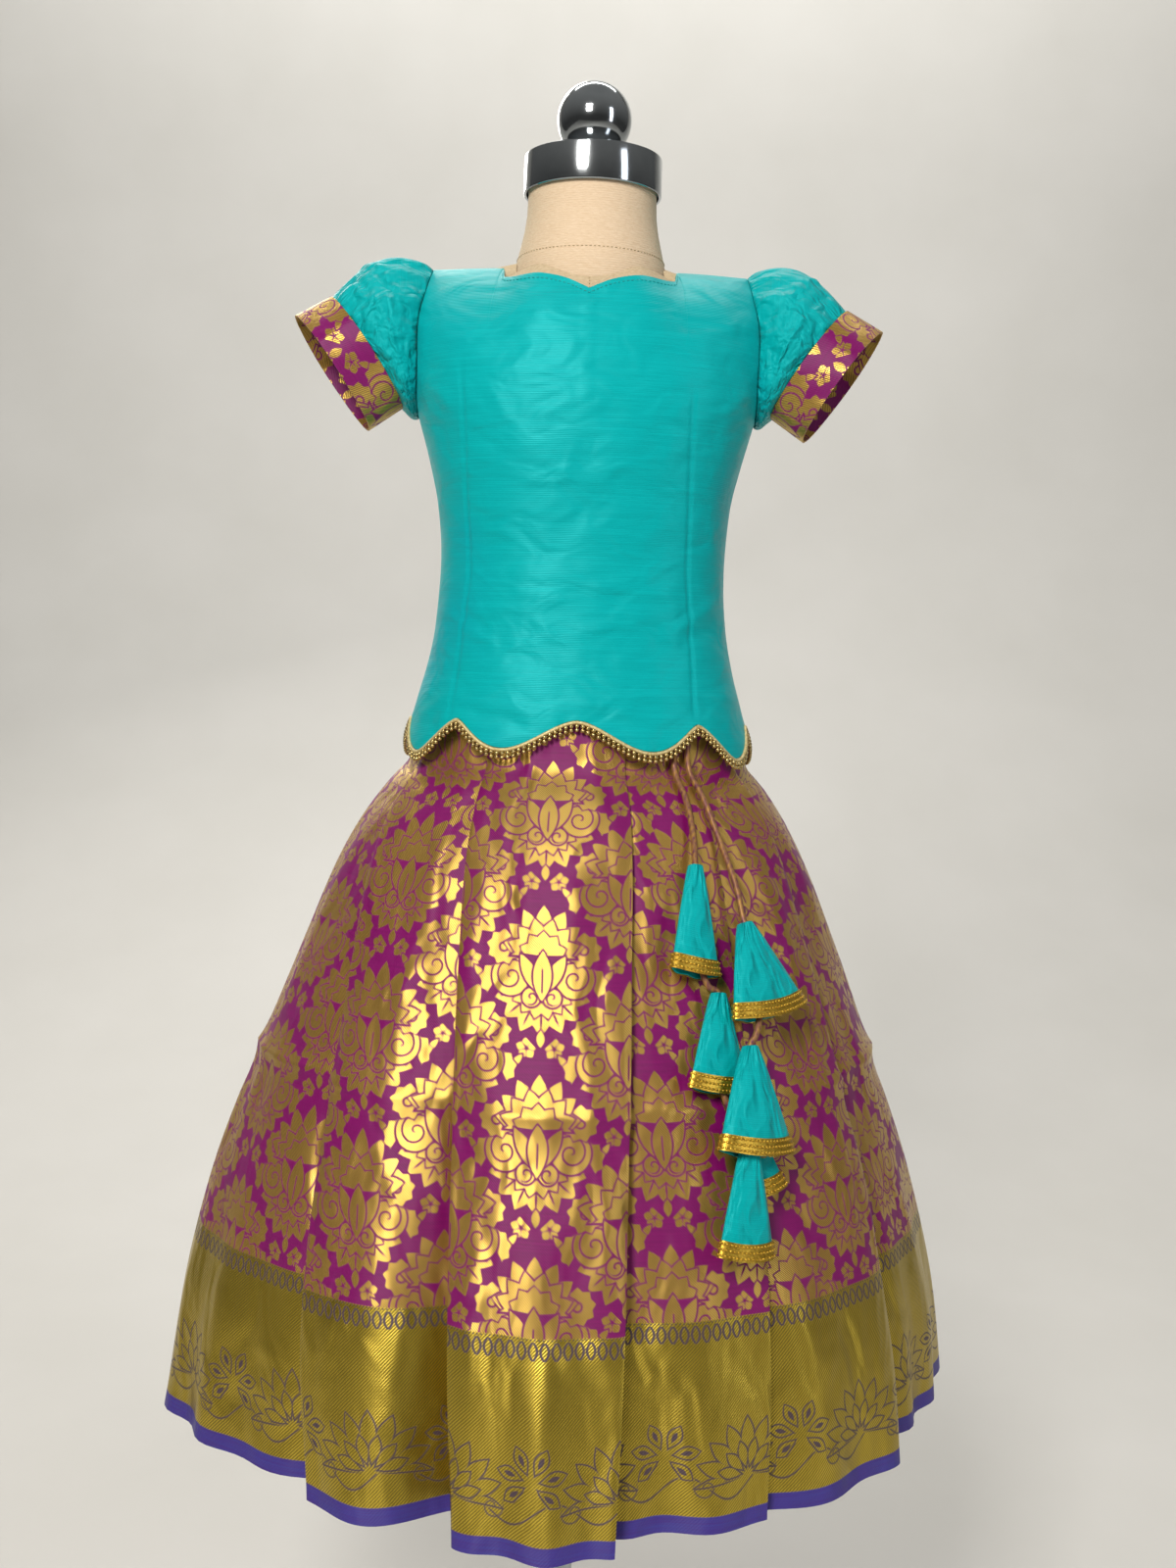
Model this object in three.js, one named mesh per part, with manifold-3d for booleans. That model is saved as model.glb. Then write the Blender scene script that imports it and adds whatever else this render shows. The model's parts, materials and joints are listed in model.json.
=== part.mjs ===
// A child's pattu pavadai, a pleated brocade skirt with a silk blouse, on a limbless dress form.
// Millimetres, +Z up, front towards -Y. The origin is the middle of the stand's flat underside.
import * as THREE from "three";
import { mergeVertices } from "three/addons/utils/BufferGeometryUtils.js";
import Module from "manifold-3d";

// ---------------------------------------------------------------- driving sizes
const TAU = 2 * Math.PI;
const GAP = 0.3; // between touching pieces
const BLOUSE_WALL = 1.5;
const SKIRT_WALL = 1.4;
const FORM_CLEARANCE = 3.7; // between the form and the blouse
const HIPS_TOP = 876; // below this the form follows its own table
const UNDERARM_Z = 1003;
const SHOULDER_Z = 1102;
const NECK_RISE = 20; // how far the neck root stands above the shoulder line
const NECK_OPENING = 60; // half width between the two neck points
const BACK_NECK_Z = 1078;
const HEM_HIGH = 803; // top of the blouse hem's scallops
const HEM_LOW = 785; // bottom of the scallops in front
const HEM_SIDE = 777; // bottom of the scallops at the sides
const SCALLOPS = 9; // round the whole hem
const SKIRT_HEM = 345;
const FOLDS_START = 785; // height where the pleats leave the blouse
const FLUTES_START = 770; // height where the folds begin to stand out from the base form
const TOP_RADIUS = 118; // of the ring where the pleats leave the blouse
const HEM_RADIUS = 250;
const CLOTH_WIDTH = 1900; // length of cloth round every ring of the skirt
const LAYER_STEP = 2.2; // from one layer of a flat pleat to the next
const TUCK_LIMIT = 0.92; // deepest tuck, as a share of the pleat's own face
const OPENING = 8; // a fold opened by this much stands with its four turning points apart
const SHARPEST = 0.62; // limit on how far a wall's corner is drawn out at a sharp fold
const CUFF_LENGTH = 27;
const CUFF_TILT = THREE.MathUtils.degToRad(35);
const CUFF_FORWARD = THREE.MathUtils.degToRad(11);
const CORD_DIAMETER = 4;
const POLE_RADIUS = 12;
const BASE_RADIUS = 145;
const BASE_HEIGHT = 14;

// ---------------------------------------------------------------- tables
// The blouse's outer surface: half width, and how far it stands in front of and behind the axis.
const BODY = [
  { z: 700, side: 112, front: 84, back: 88 },
  { z: 778, side: 119.5, front: 89, back: 96 },
  { z: 809, side: 112, front: 84.5, back: 91 },
  { z: 836, side: 104.5, front: 80, back: 84 },
  { z: 863, side: 99.5, front: 77, back: 77 },
  { z: 905, side: 96.8, front: 75, back: 71 },
  { z: 944, side: 99.5, front: 78.5, back: 73 },
  { z: 970, side: 105, front: 82, back: 76 },
  { z: 1003, side: 114, front: 84, back: 78 },
];
// The form's own body, below the waist, under the skirt.
const HIPS = [
  { z: 700, side: 84, front: 66, back: 72 },
  { z: 740, side: 94, front: 70, back: 74 },
  { z: 800, side: 94, front: 67, back: 69 },
  { z: 848, side: 81, front: 58.5, back: 58.5 },
  { z: HIPS_TOP, side: 90, front: 68, back: 66 },
];
// Half width of the shoulder part at each height, and the share of it where the armhole is cut.
const ARMHOLE = [
  { z: 1003, side: 114, cut: 1 },
  { z: 1022, side: 117, cut: 0.965 },
  { z: 1062, side: 119, cut: 0.95 },
  { z: 1085, side: 113, cut: 0.965 },
  { z: 1103, side: 106, cut: 0.995 },
];
// Front neckline, from its point in the middle out to the shoulder.
const NECKLINE = [
  { x: 0, z: 1078 },
  { x: 15, z: 1085 },
  { x: 32, z: 1088.5 },
  { x: 55.5, z: 1089 },
  { x: 58.4, z: 1097 },
];
const NECK_SIDE = 59.5; // beyond this a column runs up to the shoulder seam
// The skirt's base form, half width and half depth, before its folds.
const SKIRT = [
  { z: 345, side: 252, deep: 250 },
  { z: 420, side: 246, deep: 241 },
  { z: 490, side: 230, deep: 225 },
  { z: 550, side: 212, deep: 204 },
  { z: 605, side: 193, deep: 183 },
  { z: 655, side: 175, deep: 161 },
  { z: 700, side: 159, deep: 141 },
  { z: 730, side: 145, deep: 124 },
  { z: 755, side: 129, deep: 104 },
  { z: 770, side: 116.6, deep: 87.4 },
  { z: 784, side: 113, deep: 84.4 },
  { z: 812, side: 107.8, deep: 80.4 },
  { z: 852, side: 98.2, deep: 74.4 },
];
// One row for each knife pleat, counted from the centre front towards the back. top and hem are the
// angles of its edge in degrees, out is how far the edge stands off the base form at the hem, drop
// how far the cloth falls in behind the edge, and crown how far the face before it bulges.
const RIGHT_PLEATS = [
  { top: 16, hem: 7.5, out: 8, drop: 22, crown: 8 },
  { top: 40, hem: 30, out: -2, drop: 10, crown: 1 },
  { top: 66, hem: 56, out: 4, drop: 20, crown: 4 },
  { top: 92, hem: 90, out: 16, drop: 24, crown: 5 },
  { top: 118, hem: 114, out: 24, drop: 30, crown: 6 },
  { top: 141, hem: 139, out: 4, drop: 20, crown: 6 },
  { top: 165, hem: 163, out: 8, drop: 24, crown: 8 },
];
const LEFT_PLEATS = [
  { top: 31, hem: 12.5, out: 4, drop: 44, crown: 8 },
  { top: 66, hem: 35, out: 4, drop: 27, crown: 17 },
  { top: 95, hem: 72, out: 24, drop: 26, crown: 7 },
  { top: 121, hem: 116, out: 18, drop: 26, crown: 6 },
  { top: 143, hem: 141, out: 8, drop: 22, crown: 6 },
  { top: 166, hem: 165, out: 6, drop: 22, crown: 6 },
];
// Cloth bells: the angle from the front in degrees and the height of the top and of the hem, how far
// each end stands off the skirt, and the half width and half thickness at the hem.
const BELLS = [
  { name: "bell_1", top: [31.6, 716], hem: [25.7, 655], off: [8, 12], wide: 17, thick: 5 },
  { name: "bell_2", top: [39.0, 683], hem: [39.6, 629], off: [12, 19], wide: 31, thick: 7 },
  { name: "bell_3", top: [30.6, 643], hem: [27.4, 588], off: [7, 6.5], wide: 21, thick: 4 },
  { name: "bell_4", top: [33, 615], hem: [30.3, 556], off: [17, 19], wide: 27, thick: 8 },
  { name: "bell_5", top: [31.6, 571], hem: [32.9, 530], off: [5.4, 5.6], wide: 16, thick: 3.5 },
  { name: "bell_6", top: [29.4, 564], hem: [26.8, 500], off: [19, 14], wide: 19, thick: 4.8 },
];
const BELL_TOP_RADIUS = 4.8;
const BELL_WALL = 1.3;

// ---------------------------------------------------------------- small helpers
const rad = THREE.MathUtils.degToRad;
const lerp = THREE.MathUtils.lerp;
const clamp = THREE.MathUtils.clamp;
const point = (x, y, z) => new THREE.Vector3(x, y, z);

// A smooth curve through a table's rows, read at z.
function readTable(rows, key, z, by = "z") {
  const last = rows.length - 1;
  if (z <= rows[0][by]) return rows[0][key];
  if (z >= rows[last][by]) return rows[last][key];
  let i = 0;
  while (rows[i + 1][by] < z) i += 1;
  const before = rows[Math.max(i - 1, 0)];
  const after = rows[Math.min(i + 2, last)];
  const from = rows[i];
  const to = rows[i + 1];
  const span = to[by] - from[by];
  const u = (z - from[by]) / span;
  const leave = ((to[key] - before[key]) / (to[by] - before[by])) * span;
  const arrive = ((after[key] - from[key]) / (after[by] - from[by])) * span;
  const u2 = u * u;
  const u3 = u2 * u;
  return (
    (2 * u3 - 3 * u2 + 1) * from[key] +
    (u3 - 2 * u2 + u) * leave +
    (3 * u2 - 2 * u3) * to[key] +
    (u3 - u2) * arrive
  );
}

const falling = (rows) => [...rows].sort((a, b) => a.z - b.z);

// Turns a list of points and triangles into a closed geometry whose faces point out.
function closedGeometry(points, faces) {
  let volume = 0;
  for (const [a, b, c] of faces) {
    volume += points[a].dot(points[b].clone().cross(points[c])) / 6;
  }
  const geometry = new THREE.BufferGeometry();
  const places = points.flatMap((p) => [p.x, p.y, p.z]);
  geometry.setAttribute("position", new THREE.Float32BufferAttribute(places, 3));
  geometry.setIndex(faces.flatMap(([a, b, c]) => (volume < 0 ? [a, c, b] : [a, b, c])));
  return geometry;
}

// The two faces of one wall, as grids of points, closed round all four edges.
function wallSheet(outer, inner) {
  const rows = outer.length;
  const columns = outer[0].length;
  const points = [...outer.flat(), ...inner.flat()];
  const front = (r, c) => r * columns + c;
  const back = (r, c) => rows * columns + front(r, c);
  const faces = [];
  const quad = (a, b, c, d) => faces.push([a, b, c], [a, c, d]);
  for (let r = 0; r < rows - 1; r += 1) {
    for (let c = 0; c < columns - 1; c += 1) {
      quad(front(r, c), front(r, c + 1), front(r + 1, c + 1), front(r + 1, c));
      quad(back(r, c), back(r + 1, c), back(r + 1, c + 1), back(r, c + 1));
    }
    quad(front(r, 0), front(r + 1, 0), back(r + 1, 0), back(r, 0));
    const end = columns - 1;
    quad(front(r + 1, end), front(r, end), back(r, end), back(r + 1, end));
  }
  for (let c = 0; c < columns - 1; c += 1) {
    quad(front(0, c + 1), front(0, c), back(0, c), back(0, c + 1));
    quad(front(rows - 1, c), front(rows - 1, c + 1), back(rows - 1, c + 1), back(rows - 1, c));
  }
  return closedGeometry(points, faces);
}

// A skin through closed rings. With loop it joins the last ring to the first, otherwise both ends
// are closed by a flat fan.
function ringSkin(rings, loop) {
  const count = rings[0].length;
  const points = rings.flat();
  const faces = [];
  const bands = loop ? rings.length : rings.length - 1;
  for (let r = 0; r < bands; r += 1) {
    const next = (r + 1) % rings.length;
    for (let i = 0; i < count; i += 1) {
      const j = (i + 1) % count;
      faces.push([r * count + i, r * count + j, next * count + j]);
      faces.push([r * count + i, next * count + j, next * count + i]);
    }
  }
  if (!loop) {
    for (const [ring, turn] of [[0, -1], [rings.length - 1, 1]]) {
      const middle = rings[ring].reduce((sum, p) => sum.add(p), point(0, 0, 0)).divideScalar(count);
      points.push(middle);
      for (let i = 0; i < count; i += 1) {
        const a = ring * count + i;
        const b = ring * count + ((i + 1) % count);
        faces.push(turn > 0 ? [points.length - 1, a, b] : [points.length - 1, b, a]);
      }
    }
  }
  return closedGeometry(points, faces);
}

const turned = (profile, sides) => {
  const lathe = new THREE.LatheGeometry(profile.map(([r, z]) => new THREE.Vector2(r, z)), sides);
  lathe.deleteAttribute("normal");
  lathe.deleteAttribute("uv");
  return mergeVertices(lathe.rotateX(Math.PI / 2), 1e-3);
};

// ---------------------------------------------------------------- the body's surface
const bodyRows = falling(BODY);
const hipRows = falling(HIPS);
const SHOULDER_FULLNESS = 2 / 2.35; // rounds the sections a little squarer than an ellipse
const SHOULDER_SLOPE = 0.02;
const NECK_ROOT = [28, 58]; // the rise to the neck ends between these distances from the middle

// The height of the shoulder line.
function ridge(x) {
  const bump = 1 - THREE.MathUtils.smoothstep(Math.abs(x), ...NECK_ROOT);
  return SHOULDER_Z + NECK_RISE * bump - SHOULDER_SLOPE * Math.max(Math.abs(x) - NECK_OPENING, 0);
}
const soften = (value) => Math.sign(value) * Math.abs(value) ** SHOULDER_FULLNESS;

// A point of the trunk at angle t from the front, off mm outside the blouse's outer surface.
function trunkPoint(t, z, off, rows = bodyRows) {
  const depth = Math.cos(t) >= 0 ? readTable(rows, "front", z) : readTable(rows, "back", z);
  const x = (readTable(rows, "side", z) + off) * soften(Math.sin(t));
  return point(x, -(depth + off) * soften(Math.cos(t)), z);
}

// A point above the underarm: lift goes from 0 at the underarm to a quarter turn on the ridge.
function shoulderPoint(t, lift, off) {
  const base = trunkPoint(t, UNDERARM_Z, off);
  const share = soften(Math.sin(t));
  const roof = ridge(share * readTable(ARMHOLE, "side", SHOULDER_Z)) + off;
  const z = UNDERARM_Z + (roof - UNDERARM_Z) * Math.sin(lift);
  const side = readTable(ARMHOLE, "side", z) + off;
  return point(share * side, base.y * Math.cos(lift), z);
}

// The lift at which the shoulder part reaches height z over angle t.
function liftAt(t, z) {
  const roof = ridge(soften(Math.sin(t)) * readTable(ARMHOLE, "side", SHOULDER_Z));
  return Math.asin(clamp((z - UNDERARM_Z) / (roof - UNDERARM_Z), 0, 1));
}

// ---------------------------------------------------------------- blouse
const FRONT_COLUMNS = [0, 7, 13, 20, 26.3, 28, 29.8, 40, 50, 60, 70, 80, 90];
const BACK_COLUMNS = [0, 10, 20, 26.3, 28, 29.8, 40, 50, 60, 70, 80, 90];
const TRUNK_ROWS = 8;
const SHOULDER_ROWS = 5;
const ARMHOLE_STARTS = 50; // columns beyond this angle draw in to the armhole

// The scalloped hem's height at angle t. Scallop tops sit at the centre front.
function hemHeight(t) {
  const low = lerp(HEM_SIDE, HEM_LOW, Math.cos(t) ** 2);
  const wave = Math.abs(Math.sin((t * SCALLOPS) / 2)) ** 1.4;
  return lerp(HEM_HIGH - 3 * Math.sin(t) ** 2, low, wave);
}

// Draws a column's angle in, so that the panel's edge follows the armhole.
function armholeAngle(degrees, z) {
  if (degrees <= ARMHOLE_STARTS) return rad(degrees);
  const cut = readTable(ARMHOLE, "cut", z) ** (1 / SHOULDER_FULLNESS);
  const edge = THREE.MathUtils.radToDeg(Math.asin(cut));
  const share = (degrees - ARMHOLE_STARTS) / (90 - ARMHOLE_STARTS);
  return rad(ARMHOLE_STARTS + share * (edge - ARMHOLE_STARTS));
}

const NECK_POINT = NECKLINE[NECKLINE.length - 1];
const frontTop = (x) => (x < NECK_SIDE ? readTable(NECKLINE, "z", x, "x") : Infinity);
const backTop = (x) =>
  x < NECK_SIDE ? lerp(BACK_NECK_Z, NECK_POINT.z, (x / NECK_POINT.x) ** 3.5) : Infinity;

const NECK_LEVEL = 1090; // where a column's place along the neckline is read
const RIDGE_LIFT = Math.PI / 2 - 0.004; // just short of the shoulder seam, where front and back meet

// One column of a panel, from the hem to the neckline or the shoulder ridge.
function panelColumn(degrees, side, facing, topOf, off) {
  const sideGap = degrees === 90 ? GAP / (2 * BODY[BODY.length - 1].side) : 0;
  const turnTo = (t) => (facing > 0 ? side * t : side * (Math.PI - t));
  const plain = rad(degrees) - sideGap;
  const low = hemHeight(turnTo(plain));
  const column = [];
  for (let i = 0; i <= TRUNK_ROWS; i += 1) {
    const z = lerp(low, UNDERARM_Z, i / TRUNK_ROWS);
    column.push(trunkPoint(turnTo(plain), z, off));
  }
  const x = Math.abs(shoulderPoint(plain, liftAt(plain, NECK_LEVEL), 0).x);
  const topLift = Number.isFinite(topOf(x)) ? liftAt(plain, topOf(x)) : RIDGE_LIFT;
  for (let i = 1; i <= SHOULDER_ROWS; i += 1) {
    const lift = (topLift * i) / SHOULDER_ROWS;
    const z = shoulderPoint(plain, lift, 0).z;
    column.push(shoulderPoint(turnTo(armholeAngle(degrees, z) - sideGap), lift, off));
  }
  return column;
}

const byRow = (columns) => columns[0].map((_, r) => columns.map((column) => column[r]));

function blouseFront() {
  const leftSide = FRONT_COLUMNS.slice(1).reverse().map((d) => [d, -1]);
  const sides = [...leftSide, ...FRONT_COLUMNS.map((d) => [d, 1])];
  const face = (off) => byRow(sides.map(([d, side]) => panelColumn(d, side, 1, frontTop, off)));
  return wallSheet(face(0), face(-BLOUSE_WALL));
}

function blouseBack(side) {
  const face = (off) => {
    const columns = BACK_COLUMNS.map((d) => panelColumn(d, side, -1, backTop, off));
    for (const p of columns[0]) p.x = (side * GAP) / 2;
    return byRow(columns);
  };
  return wallSheet(face(0), face(-BLOUSE_WALL));
}

// The corded trim and its bead strip, sewn under the scalloped hem.
const TRIM_DEPTH = 6.5;
const TRIM_FACES = [1.3, -0.9]; // how far its front and its back stand off the blouse's outer surface
function hemTrim() {
  const [face, rear] = TRIM_FACES;
  const corners = [[face, -GAP], [face, -TRIM_DEPTH], [rear, -TRIM_DEPTH], [rear, -GAP]];
  const half = [...FRONT_COLUMNS, ...BACK_COLUMNS.slice(0, -1).reverse().map((d) => 180 - d)];
  const round = [...half, ...half.slice(1, -1).reverse().map((d) => 360 - d)];
  const rings = round.map((degrees) => {
    const top = hemHeight(rad(degrees));
    return corners.map(([off, drop]) => {
      const p = trunkPoint(rad(degrees), top, off);
      p.z += drop;
      return p;
    });
  });
  return ringSkin(rings, true);
}

// ---------------------------------------------------------------- sleeves and cuffs
const SLEEVE_SIDES = 22;
const SLEEVE_ROWS = 7;
const CUFF_TOP = point(149.5, -9, 1043); // middle of the ring where the cuff is sewn on
const CUFF_HALF = { long: 42.5, deep: 27 };
const ARMHOLE_MIDDLE = (UNDERARM_Z + SHOULDER_Z) / 2;
const ARMHOLE_HALF = (SHOULDER_Z - UNDERARM_Z) / 2 - 0.4;
const PUFF = 15; // how far the cap swells
const PUFF_UNDER_ARM = 0.25; // share of it that is left under the arm
const GATHERS = 11;
const GATHER_DEPTH = 1.3;

const cuffAxis = point(Math.cos(CUFF_TILT), -Math.sin(CUFF_FORWARD), -Math.sin(CUFF_TILT)).normalize();
const cuffUp = point(Math.sin(CUFF_TILT), 0, Math.cos(CUFF_TILT)).normalize();
const cuffSide = cuffAxis.clone().cross(cuffUp).normalize();

function cuffPoint(angle, along, grow) {
  const long = (CUFF_HALF.long + grow) * Math.cos(angle);
  const deep = (CUFF_HALF.deep + grow) * Math.sin(angle);
  return CUFF_TOP.clone()
    .addScaledVector(cuffAxis, along)
    .addScaledVector(cuffUp, long)
    .addScaledVector(cuffSide, deep);
}

// The edge of the armhole, drawn in by -grow, with the seam's gap. Angle 0 is on the shoulder and a
// quarter turn is behind.
function armholePoint(angle, grow) {
  const z = ARMHOLE_MIDDLE + ARMHOLE_HALF * Math.cos(angle);
  const t = armholeAngle(90, z);
  const edge = shoulderPoint(Math.sin(angle) > 0 ? Math.PI - t : t, liftAt(t, z), 0);
  return point(edge.x + 2 * GAP, edge.y + grow * Math.sin(angle), z + grow * Math.cos(angle));
}

// A ring of the puff: it runs from the armhole to the cuff, swelling over the top.
function sleeveRing(u, side, grow) {
  return Array.from({ length: SLEEVE_SIDES }, (_, i) => {
    const angle = (TAU * i) / SLEEVE_SIDES;
    const over = 0.5 + 0.5 * Math.cos(angle); // 1 on the shoulder, 0 under the arm
    const start = armholePoint(angle, grow);
    const end = cuffPoint(-angle, -GAP - 0.1, grow);
    const gather = GATHER_DEPTH * Math.sin(GATHERS * angle) * Math.sin(Math.PI * u) ** 0.5;
    const swell = PUFF * Math.sin(Math.PI * u ** 0.85) * lerp(PUFF_UNDER_ARM, 1, over) + gather;
    const away = point(0.35 * over, Math.sin(angle), Math.cos(angle)).normalize();
    const p = start.lerp(end, u).addScaledVector(away, swell);
    p.x *= side;
    return p;
  });
}

function sleeve(side) {
  const rings = (grow) =>
    Array.from({ length: SLEEVE_ROWS + 1 }, (_, r) => sleeveRing(r / SLEEVE_ROWS, side, grow));
  return ringSkin([...rings(0), ...rings(-BLOUSE_WALL).reverse()], true);
}

// The cuff is a band whose two faces stand off the sleeve's ring by these amounts, from the seam
// to its edge.
const CUFF_FACES = { outer: [1.2, 1.8, 2.2], inner: [-0.4, 0.2, 0.6] };
function cuff(side) {
  const ring = (along, grow) =>
    Array.from({ length: SLEEVE_SIDES }, (_, i) => {
      const p = cuffPoint((TAU * i) / SLEEVE_SIDES, along, grow);
      p.x *= side;
      return p;
    });
  const face = (grows) => grows.map((grow, i) => ring((CUFF_LENGTH * i) / 2, grow));
  return ringSkin([...face(CUFF_FACES.outer), ...face(CUFF_FACES.inner).reverse()], true);
}

// ---------------------------------------------------------------- skirt
const skirtRows = falling(SKIRT);
const RIGHT_FACES = [5, 4, 5, 5, 5, 4, 4]; // points between one edge and the next
const LEFT_FACES = [4, 5, 5, 5, 4, 4];
const CENTRE_BACK_POINTS = 3;
const CENTRE_BACK_HOLLOW = 4; // how far the cloth behind falls in between its two middle pleats

const SEAM_FACE = { [RIGHT_FACES.length]: 4, [LEFT_FACES.length]: 3 }; // the face with the side seam

const foldGrowth = (z) => clamp((FLUTES_START - z) / (FLUTES_START - SKIRT_HEM), 0, 1) ** 0.9;

// The share of the way from an edge's top angle to its hem angle, so that the edge runs straight.
function angleShare(z) {
  const fall = clamp((FOLDS_START - z) / (FOLDS_START - SKIRT_HEM), 0, 1);
  return (fall * HEM_RADIUS) / lerp(TOP_RADIUS, HEM_RADIUS, fall);
}

function skirtBase(z) {
  return { side: readTable(skirtRows, "side", z), deep: readTable(skirtRows, "deep", z) };
}

// A point of the skirt's middle surface in plan: t from the front, out mm off the base form.
function planPoint(base, t, out) {
  const normal = new THREE.Vector2(Math.sin(t) / base.side, -Math.cos(t) / base.deep).normalize();
  const place = new THREE.Vector2(base.side * Math.sin(t), -base.deep * Math.cos(t));
  return place.addScaledVector(normal, out);
}

const arcPerRadian = (base, t) => Math.hypot(base.side * Math.cos(t), base.deep * Math.sin(t));

// The four turning points of each pleat on one side, at tuck (its depth as a share of its face).
function pleatTurns(pleats, otherFirst, z, base, tuck) {
  const growth = foldGrowth(z);
  const share = angleShare(z);
  const edgeAt = (pleat) => rad(lerp(pleat.top, pleat.hem, share));
  return pleats.map((pleat, i) => {
    const t = edgeAt(pleat);
    const before = i ? edgeAt(pleats[i - 1]) : 0;
    const face = i ? t - before : (t + edgeAt(otherFirst)) / 2;
    const perRadian = arcPerRadian(base, t);
    const step = LAYER_STEP;
    const out = pleat.out * growth;
    const drop = 2 * step + (pleat.drop - 2 * step) * growth;
    const back = tuck * face; // angle of the tuck, negative once the fold has opened
    const open = clamp((-back * perRadian) / OPENING, 0, 1);
    const side = (step * open) / perRadian;
    const next = pleats[i + 1];
    const rise = next ? next.out * growth - (out - drop) : 0;
    const reach = next ? edgeAt(next) - t : 1;
    const slope = Math.max(back, 0) * (rise / reach);
    return {
      crown: pleat.crown * growth,
      turns: [
        [t, out],
        [t + side, out - step * (1 - open)],
        [t - back, out - drop - slope + step * (1 - open)],
        [t - back + side, out - drop - slope],
      ],
    };
  });
}

// The points strictly between two turning points, bulging by crown.
function facePoints(from, to, count, crown) {
  return Array.from({ length: count }, (_, i) => {
    const u = (i + 1) / (count + 1);
    return [lerp(from[0], to[0], u), lerp(from[1], to[1], u) + crown * Math.sin(Math.PI * u)];
  });
}

// One side from its first edge to its last turning point. seam is the place of the side seam.
function sidePath(folds, counts) {
  const path = [...folds[0].turns];
  let seam = 0;
  for (let i = 1; i < folds.length; i += 1) {
    const face = facePoints(path[path.length - 1], folds[i].turns[0], counts[i], folds[i].crown);
    if (i === SEAM_FACE[counts.length]) seam = path.length + (counts[i] - 1) / 2;
    path.push(...face, ...folds[i].turns);
  }
  return { path, seam };
}

// The whole ring in plan, starting at the centre back and going round by the left side to the
// front and on by the right side.
function skirtPlan(z, tuck) {
  const base = skirtBase(z);
  const right = pleatTurns(RIGHT_PLEATS, LEFT_PLEATS[0], z, base, tuck);
  const left = pleatTurns(LEFT_PLEATS, RIGHT_PLEATS[0], z, base, tuck);
  const rightSide = sidePath(right, RIGHT_FACES);
  const leftSide = sidePath(left, LEFT_FACES);
  const mirrored = leftSide.path.map(([t, out]) => [-t, out]).reverse();
  const front = mirrored[mirrored.length - 1];
  const centre = facePoints(front, rightSide.path[0], RIGHT_FACES[0], right[0].crown);
  const last = rightSide.path[rightSide.path.length - 1];
  const first = [mirrored[0][0] + TAU, mirrored[0][1]];
  const behind = facePoints(last, first, CENTRE_BACK_POINTS, -CENTRE_BACK_HOLLOW * foldGrowth(z));
  const turns = [...mirrored, ...centre, ...rightSide.path, ...behind];
  return {
    points: turns.map(([t, out]) => planPoint(base, t, out)),
    leftSeam: mirrored.length - 1 - leftSide.seam,
    rightSeam: mirrored.length + centre.length + rightSide.seam,
  };
}

function loopLength(points) {
  return points.reduce((sum, p, i) => sum + p.distanceTo(points[(i + 1) % points.length]), 0);
}

// Finds the tuck at which the ring takes the whole width of the cloth.
function settledPlan(z) {
  let shallow = -0.3;
  let deep = TUCK_LIMIT;
  for (let i = 0; i < 24; i += 1) {
    const tuck = (shallow + deep) / 2;
    if (loopLength(skirtPlan(z, tuck).points) > CLOTH_WIDTH) deep = tuck;
    else shallow = tuck;
  }
  return skirtPlan(z, shallow);
}

// Moves a closed plan out by off, along the mean of the two neighbouring sides' normals.
function offsetPlan(points, off) {
  const count = points.length;
  return points.map((p, i) => {
    const into = p.clone().sub(points[(i + count - 1) % count]).normalize();
    const away = points[(i + 1) % count].clone().sub(p).normalize();
    const along = into.clone().add(away);
    const sharp = clamp(along.length() / 2, SHARPEST, 1);
    along.normalize();
    return new THREE.Vector2(along.y, -along.x).multiplyScalar(off / sharp).add(p);
  });
}

const skirtRings = skirtRows.map(({ z }) => {
  const plan = settledPlan(z);
  return {
    z,
    ...plan,
    outer: offsetPlan(plan.points, SKIRT_WALL / 2),
    inner: offsetPlan(plan.points, -SKIRT_WALL / 2),
  };
});

// One half of the skirt, between its two seam points.
function skirtHalf(fromKey, toKey) {
  const take = (ring, side) => {
    const all = ring[side];
    const start = ring[fromKey];
    const steps = (ring[toKey] - start + all.length) % all.length;
    const picked = Array.from({ length: steps + 1 }, (_, i) => all[(start + i) % all.length].clone());
    const pull = (end, next) => end.add(next.clone().sub(end).normalize().multiplyScalar(GAP / 2));
    pull(picked[0], picked[1]);
    pull(picked[steps], picked[steps - 1]);
    return picked.map((p) => point(p.x, p.y, ring.z));
  };
  const face = (side) => skirtRings.map((ring) => take(ring, side));
  return wallSheet(face("outer"), face("inner"));
}

// How far the skirt's outermost cloth stands from the axis, at angle t and height z.
function skirtReach(degrees, z) {
  const above = skirtRings.findIndex((ring) => ring.z >= z);
  const [low, high] = [skirtRings[above - 1], skirtRings[above]];
  const share = (z - low.z) / (high.z - low.z);
  const ring = low.outer.map((p, i) => p.clone().lerp(high.outer[i], share));
  const ray = new THREE.Vector2(Math.sin(rad(degrees)), -Math.cos(rad(degrees)));
  let reach = 0;
  ring.forEach((p, i) => {
    const q = ring[(i + 1) % ring.length];
    const a = p.cross(ray);
    const b = q.cross(ray);
    if (a * b > 0) return;
    const hit = p.clone().lerp(q, a / (a - b));
    reach = Math.max(reach, hit.dot(ray));
  });
  return reach;
}

// A point in front of the skirt's cloth, off mm clear of it.
function beforeSkirt(degrees, z, off) {
  const r = skirtReach(degrees, z) + off;
  return point(r * Math.sin(rad(degrees)), -r * Math.cos(rad(degrees)), z);
}

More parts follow.
